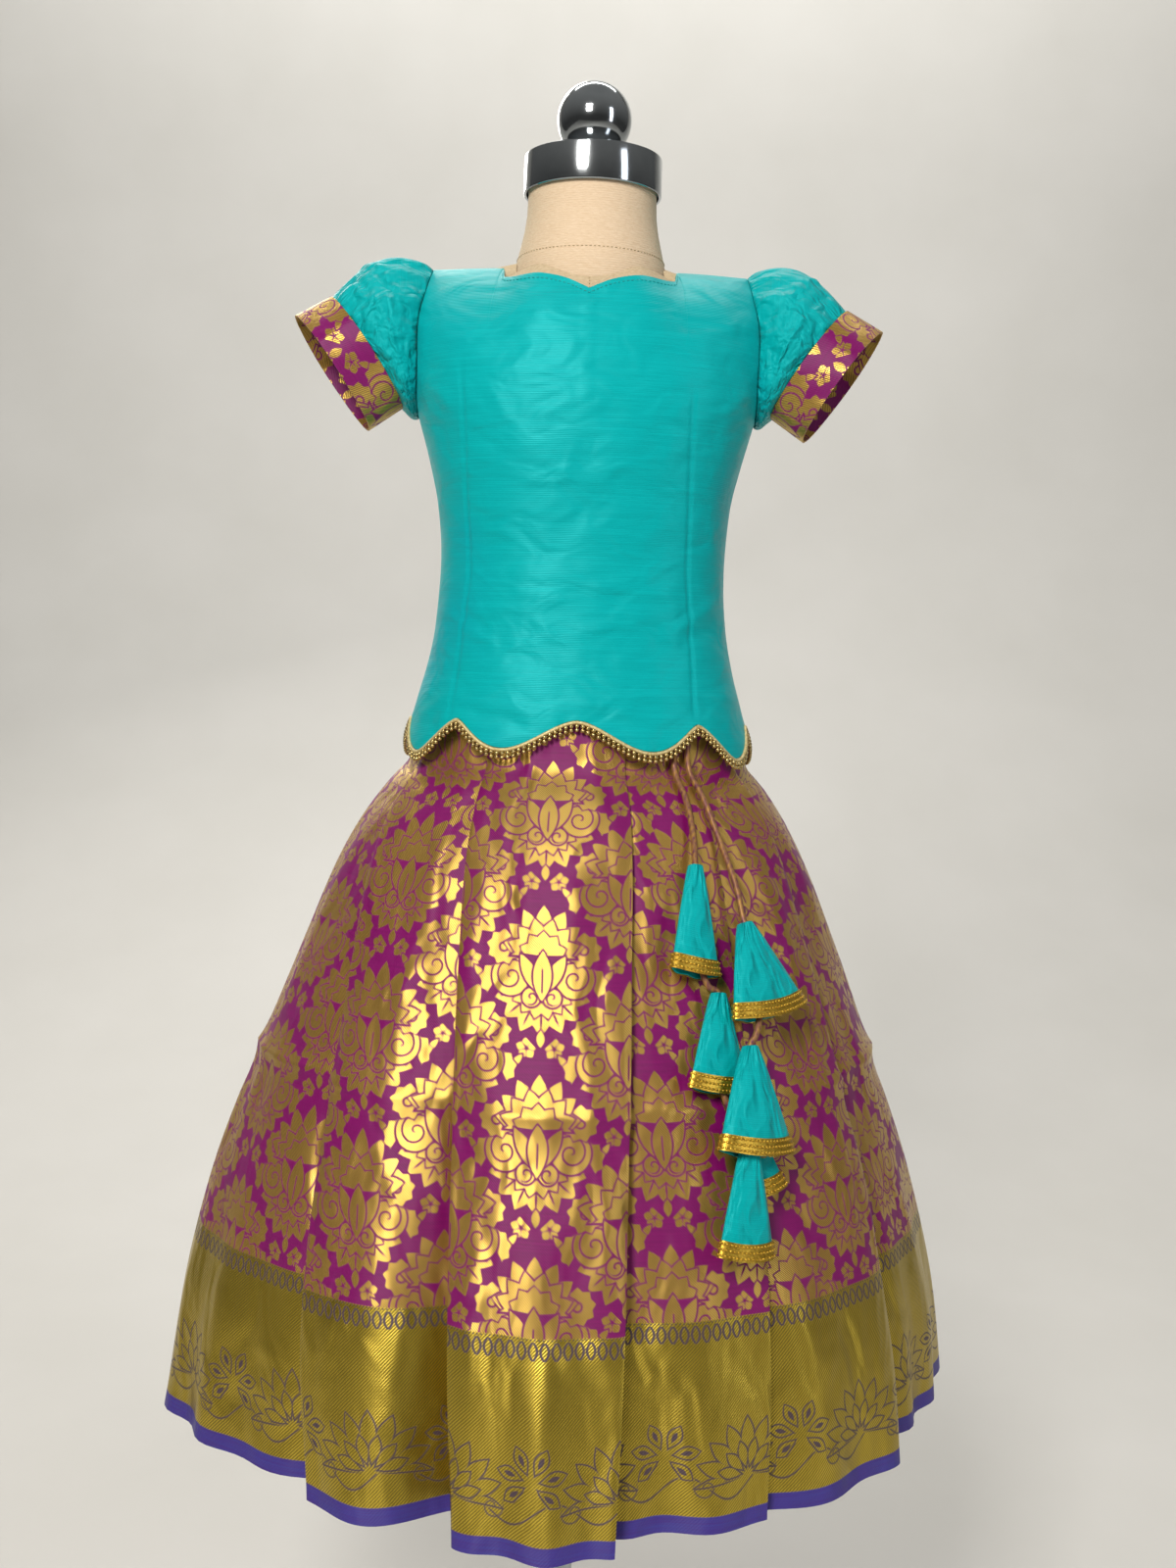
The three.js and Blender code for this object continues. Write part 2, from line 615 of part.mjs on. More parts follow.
// ---------------------------------------------------------------- bells and cords
const BELL_SIDES = 12;
const BELL_ROWS = [0, 0.3, 0.65, 1];
const BELL_SAG = 2 / 15; // how far the middle of the hem hangs below its sides, by half width

function bellEnds(bell) {
  return [beforeSkirt(...bell.top, bell.off[0]), beforeSkirt(...bell.hem, bell.off[1])];
}

// A flattened cone of cloth, open at both ends, that hangs on its cord.
function bellShell(bell) {
  const [top, hem] = bellEnds(bell);
  const down = hem.clone().sub(top).normalize();
  const out = point(hem.x, hem.y, 0).normalize();
  const wide = down.clone().cross(out).normalize();
  const thick = wide.clone().cross(down).normalize();
  const ring = (u, shrink) => {
    const middle = top.clone().lerp(hem, u);
    const a = lerp(BELL_TOP_RADIUS, bell.wide, u ** 0.85) - shrink;
    const b = lerp(BELL_TOP_RADIUS, bell.thick, u) - shrink;
    return Array.from({ length: BELL_SIDES }, (_, i) => {
      const angle = (TAU * i) / BELL_SIDES;
      const sag = u * BELL_SAG * bell.wide * Math.cos(angle) ** 2;
      return middle
        .clone()
        .addScaledVector(wide, a * Math.cos(angle))
        .addScaledVector(thick, b * Math.sin(angle))
        .addScaledVector(down, -sag);
    });
  };
  const outside = BELL_ROWS.map((u) => ring(u, 0));
  const inside = [...BELL_ROWS].reverse().map((u) => ring(u, BELL_WALL));
  return ringSkin([...outside, ...inside], true);
}

// Each cord comes out from under the blouse and runs down through its three bells.
const CORDS = [
  {
    start: [[41.5, 790, 4], [40, 772, 4], [38, 755, 4], [35, 735, 5]],
    bells: [0, 2, 4],
    between: [[28.3, 648.5, 9], [28.6, 581, 6.4]],
  },
  {
    start: [[46, 790, 4], [45.5, 772, 4], [44, 755, 4], [42.5, 730, 5], [40.5, 705, 8]],
    bells: [1, 3, 5],
    between: [[34.5, 621.5, 18]],
  },
];

function cordRoute({ start, bells, between }) {
  const route = start.map((place) => beforeSkirt(...place));
  bells.forEach((number, i) => {
    const [top, hem] = bellEnds(BELLS[number]);
    route.push(top, top.clone().lerp(hem, 0.6));
    if (between[i]) route.push(beforeSkirt(...between[i]));
  });
  return route;
}

const CORD_SIDES = 8;
const CORD_STEPS = 28;
function cordTube(cord) {
  const curve = new THREE.CatmullRomCurve3(cordRoute(cord), false, "centripetal");
  const section = new THREE.Shape();
  for (let i = 0; i < CORD_SIDES; i += 1) {
    const angle = (TAU * i) / CORD_SIDES;
    const [x, y] = [(CORD_DIAMETER / 2) * Math.cos(angle), (CORD_DIAMETER / 2) * Math.sin(angle)];
    if (i) section.lineTo(x, y);
    else section.moveTo(x, y);
  }
  const sweep = { steps: CORD_STEPS, extrudePath: curve, bevelEnabled: false };
  const tube = new THREE.ExtrudeGeometry(section, sweep);
  tube.deleteAttribute("normal");
  tube.deleteAttribute("uv");
  return mergeVertices(tube, 1e-3);
}

// ---------------------------------------------------------------- dress form
const NECK_PROFILE = [
  [0, 1088], [52, 1088], [51.6, 1098], [49.6, 1108], [47.4, 1117], [45.2, 1127],
  [43.7, 1137], [43.2, 1150], [42.9, 1159], [0, 1159],
];
const CAP_TOP = 1176.3;
const CAP_PROFILE = [
  [0, 1160], [44.2, 1160], [44.6, 1151.8], [45.8, 1151.4], [46.4, 1152.6],
  [46.4, 1175], [45.4, CAP_TOP], [0, CAP_TOP],
];
const BALL_RADIUS = 25;
const BALL_CENTRE = 1202;
const BALL_FOOT = 11;
const BALL_ROWS = 11;
const FORM_SIDES = 36;

function ballProfile() {
  const start = Math.asin(BALL_FOOT / BALL_RADIUS);
  const arc = Array.from({ length: BALL_ROWS + 1 }, (_, i) => {
    const angle = lerp(start, Math.PI, i / BALL_ROWS);
    const r = i === BALL_ROWS ? 0 : BALL_RADIUS * Math.sin(angle);
    return [r, BALL_CENTRE - BALL_RADIUS * Math.cos(angle)];
  });
  const foot = CAP_TOP + GAP;
  return [[0, foot], [BALL_FOOT, foot], ...arc];
}

// The covered trunk: rings up to the underarm, then front and back lean together to the ridge.
const TRUNK_FOOT = 702;
const TRUNK_SIDES = 32;
const TRUNK_HEIGHTS = [TRUNK_FOOT, 718, 745, 800, 848, HIPS_TOP, 905, 944, 970, UNDERARM_Z];
const TRUNK_LIFTS = [0.25, 0.5, 0.78, 1.06, 1.34];
function trunkSkin() {
  const inside = -BLOUSE_WALL - FORM_CLEARANCE;
  const formPoint = (t, z) =>
    z > HIPS_TOP ? trunkPoint(t, z, inside) : trunkPoint(t, z, 0, hipRows);
  const angles = Array.from({ length: TRUNK_SIDES }, (_, i) => (TAU * (i + 0.5)) / TRUNK_SIDES);
  const rings = TRUNK_HEIGHTS.map((z) => angles.map((t) => formPoint(t, z)));
  for (const lift of TRUNK_LIFTS) {
    rings.push(angles.map((t) => shoulderPoint(t, lift, inside)));
  }
  return ringSkin(rings, false);
}

const wasm = await Module();
wasm.setup();

// Turns a geometry into a solid that can be cut.
function asManifold(geometry) {
  const merged = mergeVertices(geometry, 1e-3);
  return new wasm.Manifold(
    new wasm.Mesh({
      numProp: 3,
      vertProperties: new Float32Array(merged.attributes.position.array),
      triVerts: new Uint32Array(merged.index.array),
    })
  );
}

function asGeometry(solid) {
  const mesh = solid.getMesh();
  const geometry = new THREE.BufferGeometry();
  const places = new Float32Array(mesh.vertProperties);
  geometry.setAttribute("position", new THREE.BufferAttribute(places, 3));
  geometry.setIndex(new THREE.BufferAttribute(new Uint32Array(mesh.triVerts), 1));
  return geometry;
}

// The trunk has a socket for the neck, GAP larger all round.
function formTorso() {
  const foot = NECK_PROFILE[0][1];
  const socket = NECK_PROFILE.map(([r, z]) => [r ? r + GAP : 0, z === foot ? z - GAP : z]);
  return asGeometry(asManifold(trunkSkin()).subtract(asManifold(turned(socket, FORM_SIDES))));
}

// ---------------------------------------------------------------- materials and assembly
const finish = (color, roughness, metalness = 0) =>
  new THREE.MeshStandardMaterial({ color, roughness, metalness });
const silk = finish("#12a9a6", 0.45);
const brocade = finish("#8f5a46", 0.42, 0.3);
const gold = finish("#c9a74e", 0.4, 0.8);
const jersey = finish("#cdb795", 0.9);
const collarJersey = finish("#e2c7a8", 0.9);
const chrome = finish("#c8ccd0", 0.12, 1);

const part = new THREE.Group();
function add(name, geometry, material) {
  const mesh = new THREE.Mesh(geometry, material);
  mesh.name = name;
  part.add(mesh);
  return mesh;
}

add("form_torso", formTorso(), jersey);
add("form_neck", turned(NECK_PROFILE, FORM_SIDES), collarJersey);
add("form_cap", turned(CAP_PROFILE, FORM_SIDES), chrome);
add("form_ball", turned(ballProfile(), 28), chrome);
const poleTop = TRUNK_FOOT - GAP;
const poleFoot = BASE_HEIGHT + GAP;
const poleShape = new THREE.CylinderGeometry(POLE_RADIUS, POLE_RADIUS, poleTop - poleFoot, 24);
const pole = add("form_pole", poleShape, chrome);
pole.rotation.x = Math.PI / 2;
pole.position.z = (poleTop + poleFoot) / 2;
const BASE_BEVEL = 4;
const baseProfile = [
  [0, 0], [BASE_RADIUS, 0], [BASE_RADIUS, BASE_HEIGHT - BASE_BEVEL],
  [BASE_RADIUS - BASE_BEVEL, BASE_HEIGHT], [0, BASE_HEIGHT],
];
add("form_base", turned(baseProfile, 48), chrome);

add("blouse_front", blouseFront(), silk);
add("blouse_back_left", blouseBack(-1), silk);
add("blouse_back_right", blouseBack(1), silk);
add("hem_trim", hemTrim(), gold);
for (const [name, side] of [["left", -1], ["right", 1]]) {
  add(`sleeve_${name}`, sleeve(side), silk);
  add(`cuff_${name}`, cuff(side), brocade);
}
add("skirt_front", skirtHalf("leftSeam", "rightSeam"), brocade);
add("skirt_back", skirtHalf("rightSeam", "leftSeam"), brocade);
for (const bell of BELLS) add(bell.name, bellShell(bell), silk);
CORDS.forEach((cord, i) => add(`dori_${i + 1}`, cordTube(cord), brocade));

export default part;
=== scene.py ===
# %% [markdown]
# # A child's pattu pavadai on a dress form
#
# A pattu pavadai is a long pleated skirt of silk brocade with a wide woven gold border, worn with a
# short silk blouse. This one has puff sleeves with brocade cuffs, a scalloped hem with a beaded
# trim, and two cords that carry three cloth bells each. The lesson makes each piece of cloth as a
# thin wall, in the order in which the cords, the skirt and the blouse depend on each other.
#
# Sizes are in millimetres and turn into metres only where a mesh is made. +Z is up and the front
# faces -Y. "left" is the side with the smaller x.

# %% Load the frame
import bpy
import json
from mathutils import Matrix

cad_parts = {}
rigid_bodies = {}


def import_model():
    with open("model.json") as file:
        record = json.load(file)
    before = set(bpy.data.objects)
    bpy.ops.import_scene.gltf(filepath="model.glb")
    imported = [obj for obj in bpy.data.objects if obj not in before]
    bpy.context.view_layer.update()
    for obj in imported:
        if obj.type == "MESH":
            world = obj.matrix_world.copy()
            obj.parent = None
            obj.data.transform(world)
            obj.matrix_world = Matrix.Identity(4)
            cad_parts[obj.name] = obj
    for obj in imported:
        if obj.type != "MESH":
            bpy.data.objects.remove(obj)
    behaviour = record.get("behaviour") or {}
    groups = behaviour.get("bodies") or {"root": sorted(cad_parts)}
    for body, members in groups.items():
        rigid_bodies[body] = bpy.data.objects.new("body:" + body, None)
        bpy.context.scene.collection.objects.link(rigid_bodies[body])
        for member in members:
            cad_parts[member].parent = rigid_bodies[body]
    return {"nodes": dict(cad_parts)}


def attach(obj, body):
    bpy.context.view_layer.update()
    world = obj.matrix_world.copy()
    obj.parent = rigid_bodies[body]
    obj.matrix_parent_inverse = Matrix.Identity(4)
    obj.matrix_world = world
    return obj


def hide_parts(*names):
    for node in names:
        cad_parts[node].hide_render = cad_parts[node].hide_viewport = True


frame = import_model()

import ast
import json

import bmesh
import bpy
import numpy as np
from mathutils import Matrix, Vector

for leftover in [o for o in bpy.data.objects if o.name in ("Cube", "Light", "Camera")]:
    bpy.data.objects.remove(leftover)
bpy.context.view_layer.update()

print("nodes in the frame:", len(frame["nodes"]))

# %% [markdown]
# ## Camera
#
# The camera stands a little over a metre from the middle of the skirt, level with the blouse's
# waist, and looks slightly down. Blender wants a matrix whose columns are right, up and backwards.

# %% Camera
MM = 0.001
CAMERA_PLACE = (8, -1088, 850)
CAMERA_DOWN = np.radians(5.0)
CAMERA_ROLL = np.radians(1.6)
SENSOR = 36.0


def make_camera():
    level = np.array([1.0, 0.0, 0.0])
    rise = np.array([0.0, np.sin(CAMERA_DOWN), np.cos(CAMERA_DOWN)])
    ahead = np.array([0.0, np.cos(CAMERA_DOWN), -np.sin(CAMERA_DOWN)])
    right = level * np.cos(CAMERA_ROLL) + rise * np.sin(CAMERA_ROLL)
    up = rise * np.cos(CAMERA_ROLL) - level * np.sin(CAMERA_ROLL)
    data = bpy.data.cameras.new("studio_camera")
    data.sensor_width = SENSOR
    data.lens = SENSOR
    camera = bpy.data.objects.new("studio_camera", data)
    turn = Matrix([right, up, -ahead]).transposed().to_4x4()
    camera.matrix_world = Matrix.Translation([c * MM for c in CAMERA_PLACE]) @ turn
    bpy.context.collection.objects.link(camera)
    bpy.context.scene.camera = camera
    return camera


camera = make_camera()
print("camera at", [round(c, 3) for c in camera.location])

# %% [markdown]
# ## Helpers for meshes
#
# Nearly every piece here is a wall of cloth: an outer grid of points, an inner one, and the rims
# between them. One function builds that from two grids, and one makes turned pieces from a profile.
# A wall's faces are turned outwards by the sign of the volume that they enclose, which is surer
# than guessing the order of the corners for each piece. Turned pieces leave that to BMesh.

# %% Mesh helpers


def lerp(a, b, u):
    return a + (b - a) * u


def colour(code):
    """A hex colour as Blender's linear values."""
    part = np.array([int(code[i : i + 2], 16) for i in (1, 3, 5)]) / 255
    linear = np.where(part <= 0.04045, part / 12.92, ((part + 0.055) / 1.055) ** 2.4)
    return (*linear.tolist(), 1.0)


def link_piece(name, points, faces, edges=()):
    """A mesh object in the scene, from points in millimetres."""
    mesh = bpy.data.meshes.new(name)
    mesh.from_pydata((np.asarray(points, float) * MM).tolist(), list(edges), faces)
    piece = bpy.data.objects.new(name, mesh)
    bpy.context.collection.objects.link(piece)
    return piece


def shade_smooth(mesh, sharp):
    """Smooth shading, apart from edges sharper than an angle in degrees."""
    mesh.polygons.foreach_set("use_smooth", np.ones(len(mesh.polygons), bool))
    mesh.set_sharp_from_angle(angle=np.radians(sharp))


def make_piece(name, points, faces, corner_uv=None, sharp=50):
    """Links a mesh object whose faces point outwards."""
    points = np.asarray(points, float)
    faces = np.asarray(faces)
    fan = points[faces]
    volume = np.einsum("ij,ij->i", fan[:, 0], np.cross(fan[:, 1], fan[:, 2])).sum()
    if faces.shape[1] == 4:
        volume += np.einsum("ij,ij->i", fan[:, 0], np.cross(fan[:, 2], fan[:, 3])).sum()
    if volume < 0:
        faces = faces[:, ::-1]
        corner_uv = None if corner_uv is None else corner_uv[:, ::-1]
    piece = link_piece(name, points, faces.tolist())
    if corner_uv is not None:
        layer = piece.data.uv_layers.new(name="UVMap")
        layer.data.foreach_set("uv", np.ascontiguousarray(corner_uv, float).ravel())
    shade_smooth(piece.data, sharp)
    return piece


def closed_round(index):
    """The grid of indices with its first column again at the end."""
    return np.hstack([index, index[:, :1]])


def strip_quads(index):
    """The quads between the neighbouring points of a grid of indices."""
    corners = [index[:-1, :-1], index[:-1, 1:], index[1:, 1:], index[1:, :-1]]
    return np.stack(corners, -1).reshape(-1, 4)


def cloth_wall(name, outer, inner, uv, loop=False, sharp=50):
    """A wall of cloth. With loop, the last column joins the first, and uv has one column more."""
    rows, columns = outer.shape[:2]
    index = np.arange(rows * columns).reshape(rows, columns)
    if loop:
        index = closed_round(index)
    uv_index = np.arange(uv.shape[0] * uv.shape[1]).reshape(uv.shape[:2])

    def quads(grid, shift):
        parts = [strip_quads(grid), strip_quads(grid + shift)[:, ::-1]]
        for edge in (grid[0], grid[-1][::-1]):
            parts.append(strip_quads(np.stack([edge + shift, edge])))
        if not loop:
            for edge in (grid[:, 0][::-1], grid[:, -1]):
                parts.append(strip_quads(np.stack([edge + shift, edge])))
        return np.concatenate(parts)

    points = np.concatenate([outer.reshape(-1, 3), inner.reshape(-1, 3)])
    corner_uv = uv.reshape(-1, 2)[quads(uv_index, 0)]
    return make_piece(name, points, quads(index, rows * columns), corner_uv, sharp)


def turned_piece(name, profile, sides=96, sharp=40):
    """A piece turned on a lathe from (radius, height) pairs that start and end on the axis."""
    profile = np.array(profile, float)
    angle = np.linspace(0, 2 * np.pi, sides, endpoint=False)
    rings = [[(r * np.cos(a), r * np.sin(a), z) for a in angle] for r, z in profile[1:-1]]
    points = [(0, 0, profile[0][1]), *[p for ring in rings for p in ring], (0, 0, profile[-1][1])]
    grid = closed_round(1 + np.arange(len(rings) * sides).reshape(len(rings), sides))
    first, last = grid[0].tolist(), grid[-1].tolist()
    faces = strip_quads(grid).tolist()
    faces += [[0, b, a] for a, b in zip(first, first[1:])]
    faces += [[len(points) - 1, a, b] for a, b in zip(last, last[1:])]
    piece = link_piece(name, points, faces)
    close_outwards(piece, sharp)
    return piece


def close_outwards(piece, sharp=40):
    """Recalculates the normals of a closed mesh and shades it smooth."""
    work = bmesh.new()
    work.from_mesh(piece.data)
    bmesh.ops.remove_doubles(work, verts=work.verts, dist=1e-7)
    bmesh.ops.recalc_face_normals(work, faces=work.faces)
    work.to_mesh(piece.data)
    work.free()
    shade_smooth(piece.data, sharp)


def cubic(u, a, b, leave, arrive):
    """A smooth step from a to b that starts and ends with the slopes given."""
    start = (2 * u**3 - 3 * u**2 + 1) * a + (u**3 - 2 * u**2 + u) * leave
    return start + (3 * u**2 - 2 * u**3) * b + (u**3 - u**2) * arrive


def read_table(table, key, z, by="z"):
    """A smooth curve through one column of a table, read at z."""
    at = np.array(table[by], float)
    value = np.array(table[key], float)
    slope = np.empty_like(value)
    slope[1:-1] = (value[2:] - value[:-2]) / (at[2:] - at[:-2])
    slope[0] = (value[1] - value[0]) / (at[1] - at[0])
    slope[-1] = (value[-1] - value[-2]) / (at[-1] - at[-2])
    z = np.clip(z, at[0], at[-1])
    i = np.clip(np.searchsorted(at, z) - 1, 0, len(at) - 2)
    span = at[i + 1] - at[i]
    leave, arrive = slope[i] * span, slope[i + 1] * span
    return cubic((z - at[i]) / span, value[i], value[i + 1], leave, arrive)


def creased(across, up, creases):
    """The height of soft ridges, or troughs where it is negative, along short straight lines.

    Each crease is (from across, from up, to across, to up, half width, height).
    """
    total = np.zeros(np.broadcast(across, up).shape)
    for x0, z0, x1, z1, width, height in creases:
        dx, dz = x1 - x0, z1 - z0
        length = np.hypot(dx, dz)
        along = ((across - x0) * dx + (up - z0) * dz) / length**2
        aside = ((across - x0) * dz - (up - z0) * dx) / length
        end = np.clip((0.5 - np.abs(along - 0.5)) / 0.22 + 0.25, 0, 1)
        total += height * np.exp(-((aside / width) ** 2)) * end**2 * (3 - 2 * end)
    return total


def unit_rows(v):
    return v / np.maximum(np.linalg.norm(v, axis=-1, keepdims=True), 1e-9)


def outward_normals(points):
    """The direction out of an open grid of points, away from the upright axis at its middle."""
    out = unit_rows(np.cross(np.gradient(points, axis=1), np.gradient(points, axis=0)))
    middle = len(points) // 2, points.shape[1] // 2
    return out * np.sign(np.sum(out[middle] * points[middle] * [1, 1, 0]))


def round_grid(rows, sides):
    """The share of the length and the angle at each point of a tube of cloth."""
    return np.meshgrid(rows, np.linspace(0, 2 * np.pi, sides, endpoint=False), indexing="ij")


def round_uv(rows, sides, around, length):
    """Its place in the cloth, with one column more, for a tube so far around and so long."""
    u, turn = np.meshgrid(rows, np.linspace(0, 1, sides + 1), indexing="ij")
    return np.stack([turn * around, u * length], -1)


# %% [markdown]
# ## Helpers for node trees
#
# `add_node` puts one node into a tree with its settings and its inputs, where an input is a value
# or the socket that feeds it. `formula` reads a short formula and makes its Math nodes, so that a
# woven pattern can be written as plain arithmetic instead of as forty separate lines. The last two
# helpers join what each of the cloths repeats: slubs or creases drawn out in one direction, and
# crumples with the weave on them.

# %% Node helpers
OPERATORS = {
    ast.Add: "ADD",
    ast.Sub: "SUBTRACT",
    ast.Mult: "MULTIPLY",
    ast.Div: "DIVIDE",
    ast.Pow: "POWER",
}
FUNCTIONS = {
    "sin": "SINE",
    "cos": "COSINE",
    "abs": "ABSOLUTE",
    "min": "MINIMUM",
    "max": "MAXIMUM",
    "sqrt": "SQRT",
    "fract": "FRACT",
    "nearest": "ROUND",
    "angle": "ARCTAN2",
    "above": "GREATER_THAN",
    "unit": "ADD",  # held between 0 and 1
}
COLOUR_MIX = {"data_type": "RGBA"}
WEAVE_DEPTH = 0.0003  # metres


def add_node(tree, kind, settings=None, inputs=None):
    """Adds one node, with its settings and its inputs' values or links."""
    node = tree.nodes.new(kind)
    for name, value in (settings or {}).items():
        setattr(node, name, value)
    for name, value in (inputs or {}).items():
        if isinstance(value, bpy.types.NodeSocket):
            tree.links.new(value, node.inputs[name])
        else:
            node.inputs[name].default_value = value
    return node


def formula(tree, text, **values):
    """Builds a written formula as Math nodes and gives its result's socket."""

    def build(part):
        if isinstance(part, ast.Constant):
            return part.value
        if isinstance(part, ast.Name):
            return values[part.id]
        if isinstance(part, ast.UnaryOp):
            settings, parts = {"operation": "MULTIPLY"}, [part.operand, ast.Constant(-1.0)]
        elif isinstance(part, ast.BinOp):
            settings, parts = {"operation": OPERATORS[type(part.op)]}, [part.left, part.right]
        else:
            settings, parts = {"operation": FUNCTIONS[part.func.id]}, part.args
            if part.func.id == "unit":
                settings["use_clamp"] = True
                parts = [*parts, ast.Constant(0.0)]
        inputs = dict(enumerate(build(p) for p in parts))
        return add_node(tree, "ShaderNodeMath", settings, inputs).outputs[0]

    return build(ast.parse(text).body[0].value)


def start_material(name):
    """A new material with an empty node tree."""
    material = bpy.data.materials.new(name)
    material.use_nodes = True
    material.node_tree.nodes.clear()
    return material, material.node_tree


def end_material(tree, inputs):
    """The shader with its inputs, and the output."""
    shader = add_node(tree, "ShaderNodeBsdfPrincipled", {}, inputs)
    add_node(tree, "ShaderNodeOutputMaterial", {}, {"Surface": shader.outputs[0]})


def stretched_noise(tree, place, stretch, **noise):
    """Noise with the settings named, drawn out along a thread or a crease."""
    moved = add_node(tree, "ShaderNodeMapping", {}, {"Vector": place, "Scale": stretch}).outputs[0]
    return add_node(tree, "ShaderNodeTexNoise", {}, {"Vector": moved, **noise}).outputs["Fac"]


def cloth_relief(tree, dents, depth, weave, strength):
    """The normal of a cloth: its crumples, depth metres high, with the weave on them."""
    crumple = {"Strength": 1.0, "Distance": depth, "Height": dents}
    under = add_node(tree, "ShaderNodeBump", {}, crumple).outputs[0]
    relief = {"Strength": strength, "Distance": WEAVE_DEPTH, "Height": weave, "Normal": under}
    return add_node(tree, "ShaderNodeBump", {}, relief).outputs[0]


# %% [markdown]
# ## Shot silk
#
# The blouse, its sleeves and the bells are a plain weave with a warp and a weft of nearly the same
# teal. It could be one flat colour, but real silk of this kind shows thin thick-and-thin threads
# across the cloth and a cooler tone in patches. Noise stretched along the weft makes the threads,
# and one slow noise makes the patches. Real threads are 0.15 mm apart, too fine to draw, so the
# ribs here are 1.1 mm apart.

# %% Teal silk
SILK_TEAL = colour("#03A3A6")
SILK_LIGHT = colour("#08C2C4")
SILK_DEEP = colour("#02797E")
SILK_BLUE = colour("#1490BC")


def teal_silk(name, from_uv, crease_scale, crease_depth):
    material, tree = start_material(name)
    place = add_node(tree, "ShaderNodeTexCoord").outputs["UV" if from_uv else "Object"]
    stretch = (1.0, 38.0, 1.0) if from_uv else (1.0, 1.0, 38.0)
    slub = stretched_noise(tree, place, stretch, Scale=22.0, Detail=3.0)
    patch = add_node(
        tree, "ShaderNodeTexNoise", {}, {"Vector": place, "Scale": 9.0, "Detail": 2.0}
    ).outputs["Fac"]
    axes = add_node(tree, "ShaderNodeSeparateXYZ", {}, {"Vector": place})
    up = axes.outputs["Y" if from_uv else "Z"]
    rib = formula(tree, "0.5 + 0.5 * sin(up * 5700 + slub * 5)", up=up, slub=slub)
    light = formula(tree, "0.3 + unit((slub - 0.42) * 2.4) * 0.4", slub=slub)
    cool = formula(tree, "unit((patch - 0.52) * 2.2) * 0.45", patch=patch)
    ground = add_node(
        tree, "ShaderNodeMix", COLOUR_MIX, {0: light, 6: SILK_TEAL, 7: SILK_LIGHT}
    ).outputs[2]
    shot = add_node(tree, "ShaderNodeMix", COLOUR_MIX, {0: cool, 6: ground, 7: SILK_BLUE}).outputs[2]
    dark = formula(tree, "rib * 0.16", rib=rib)
    base = add_node(tree, "ShaderNodeMix", COLOUR_MIX, {0: dark, 6: shot, 7: SILK_DEEP}).outputs[2]
    rough = formula(tree, "0.36 + slub * 0.16", slub=slub)
    narrow = (2.4, 1.0, 1.0) if from_uv else (1.0, 1.0, 1.7)
    noise = {"Scale": crease_scale, "Detail": 1.5, "Distortion": 0.6}
    dents = stretched_noise(tree, place, narrow, **noise)
    bump = cloth_relief(tree, dents, crease_depth, rib, 0.25)
    end_material(
        tree,
        {
            "Base Color": base,
            "Roughness": rough,
            "Normal": bump,
            "Specular IOR Level": 0.5,
            "Specular Tint": colour("#6FF2F5"),
            "Anisotropic": 0.45,
            "Anisotropic Rotation": 0.25,
            "Sheen Weight": 0.08,
            "Sheen Roughness": 0.4,
            "Sheen Tint": colour("#6FF0F2"),
        },
    )
    return material


blouse_silk = teal_silk("shot_teal_silk", False, 30.0, 0.0035)
sleeve_silk = teal_silk("shot_teal_silk_gathered", True, 52.0, 0.005)
bell_silk = teal_silk("shot_teal_silk_on_the_cross", True, 50.0, 0.004)
print("silks:", blouse_silk.name, sleeve_silk.name, bell_silk.name)

# %% [markdown]
# ## Silk brocade with a gold border
#
# The skirt's cloth is woven in three zones above each other: a violet selvedge, a wide gold border
# with a lotus vine, and a purple field with large gold sprays. The gold is flat metal thread over
# silk, so it shines where the light catches it and looks like copper where the silk between the
# threads shows. A painted picture could carry the pattern, but a formula keeps it sharp at any
# distance. The field has one spray in every diamond of the lattice. Each shape is a distance in
# millimetres that is negative inside, and the shapes are laid over each other with a thin purple
# line left round every one of them.

# %% Sizes of the weave
CLOTH_WIDTH = 1900.0  # round the whole skirt
SPRAY_WIDE = CLOTH_WIDTH / 18  # from one spray to the next of its kind
SPRAY_TALL = 100.0
BORDER_TOP = 119.0
SELVEDGE_TOP = 10.5
VINE_REPEAT = CLOTH_WIDTH / 19
TEMPLE_PITCH = CLOTH_WIDTH / 290
TEMPLE_FOOT = 108.0
DOT_PITCH = 2.4
SPRAY_FOOT = 26.0  # how far the lattice is moved up the cloth

PURPLE_SILK = colour("#6A0452")
PURPLE_LIGHT = colour("#8E0A6C")
COPPER = colour("#6E3026")
PALE_GOLD = colour("#EFCB62")
BORDER_GOLD = colour("#D9BC48")
BORDER_DARK = colour("#463A0E")
BORDER_LINE = colour("#3B2A4C")
SELVEDGE_BLUE = colour("#3E48A0")
SELVEDGE_PLUM = colour("#4A1A78")
print("a spray repeats every", round(SPRAY_WIDE, 1), "by", SPRAY_TALL, "mm")


# %% Shapes of the weave
def polar(tree, x, y):
    """Distance from the middle, and the angle from straight up."""
    return formula(tree, "sqrt(x * x + y * y)", x=x, y=y), formula(tree, "angle(x, y)", x=x, y=y)


def wrapped(tree, value, pitch):
    """The distance from the middle of the nearest repeat."""
    return formula(tree, "v - nearest(v / p) * p", v=value, p=pitch)


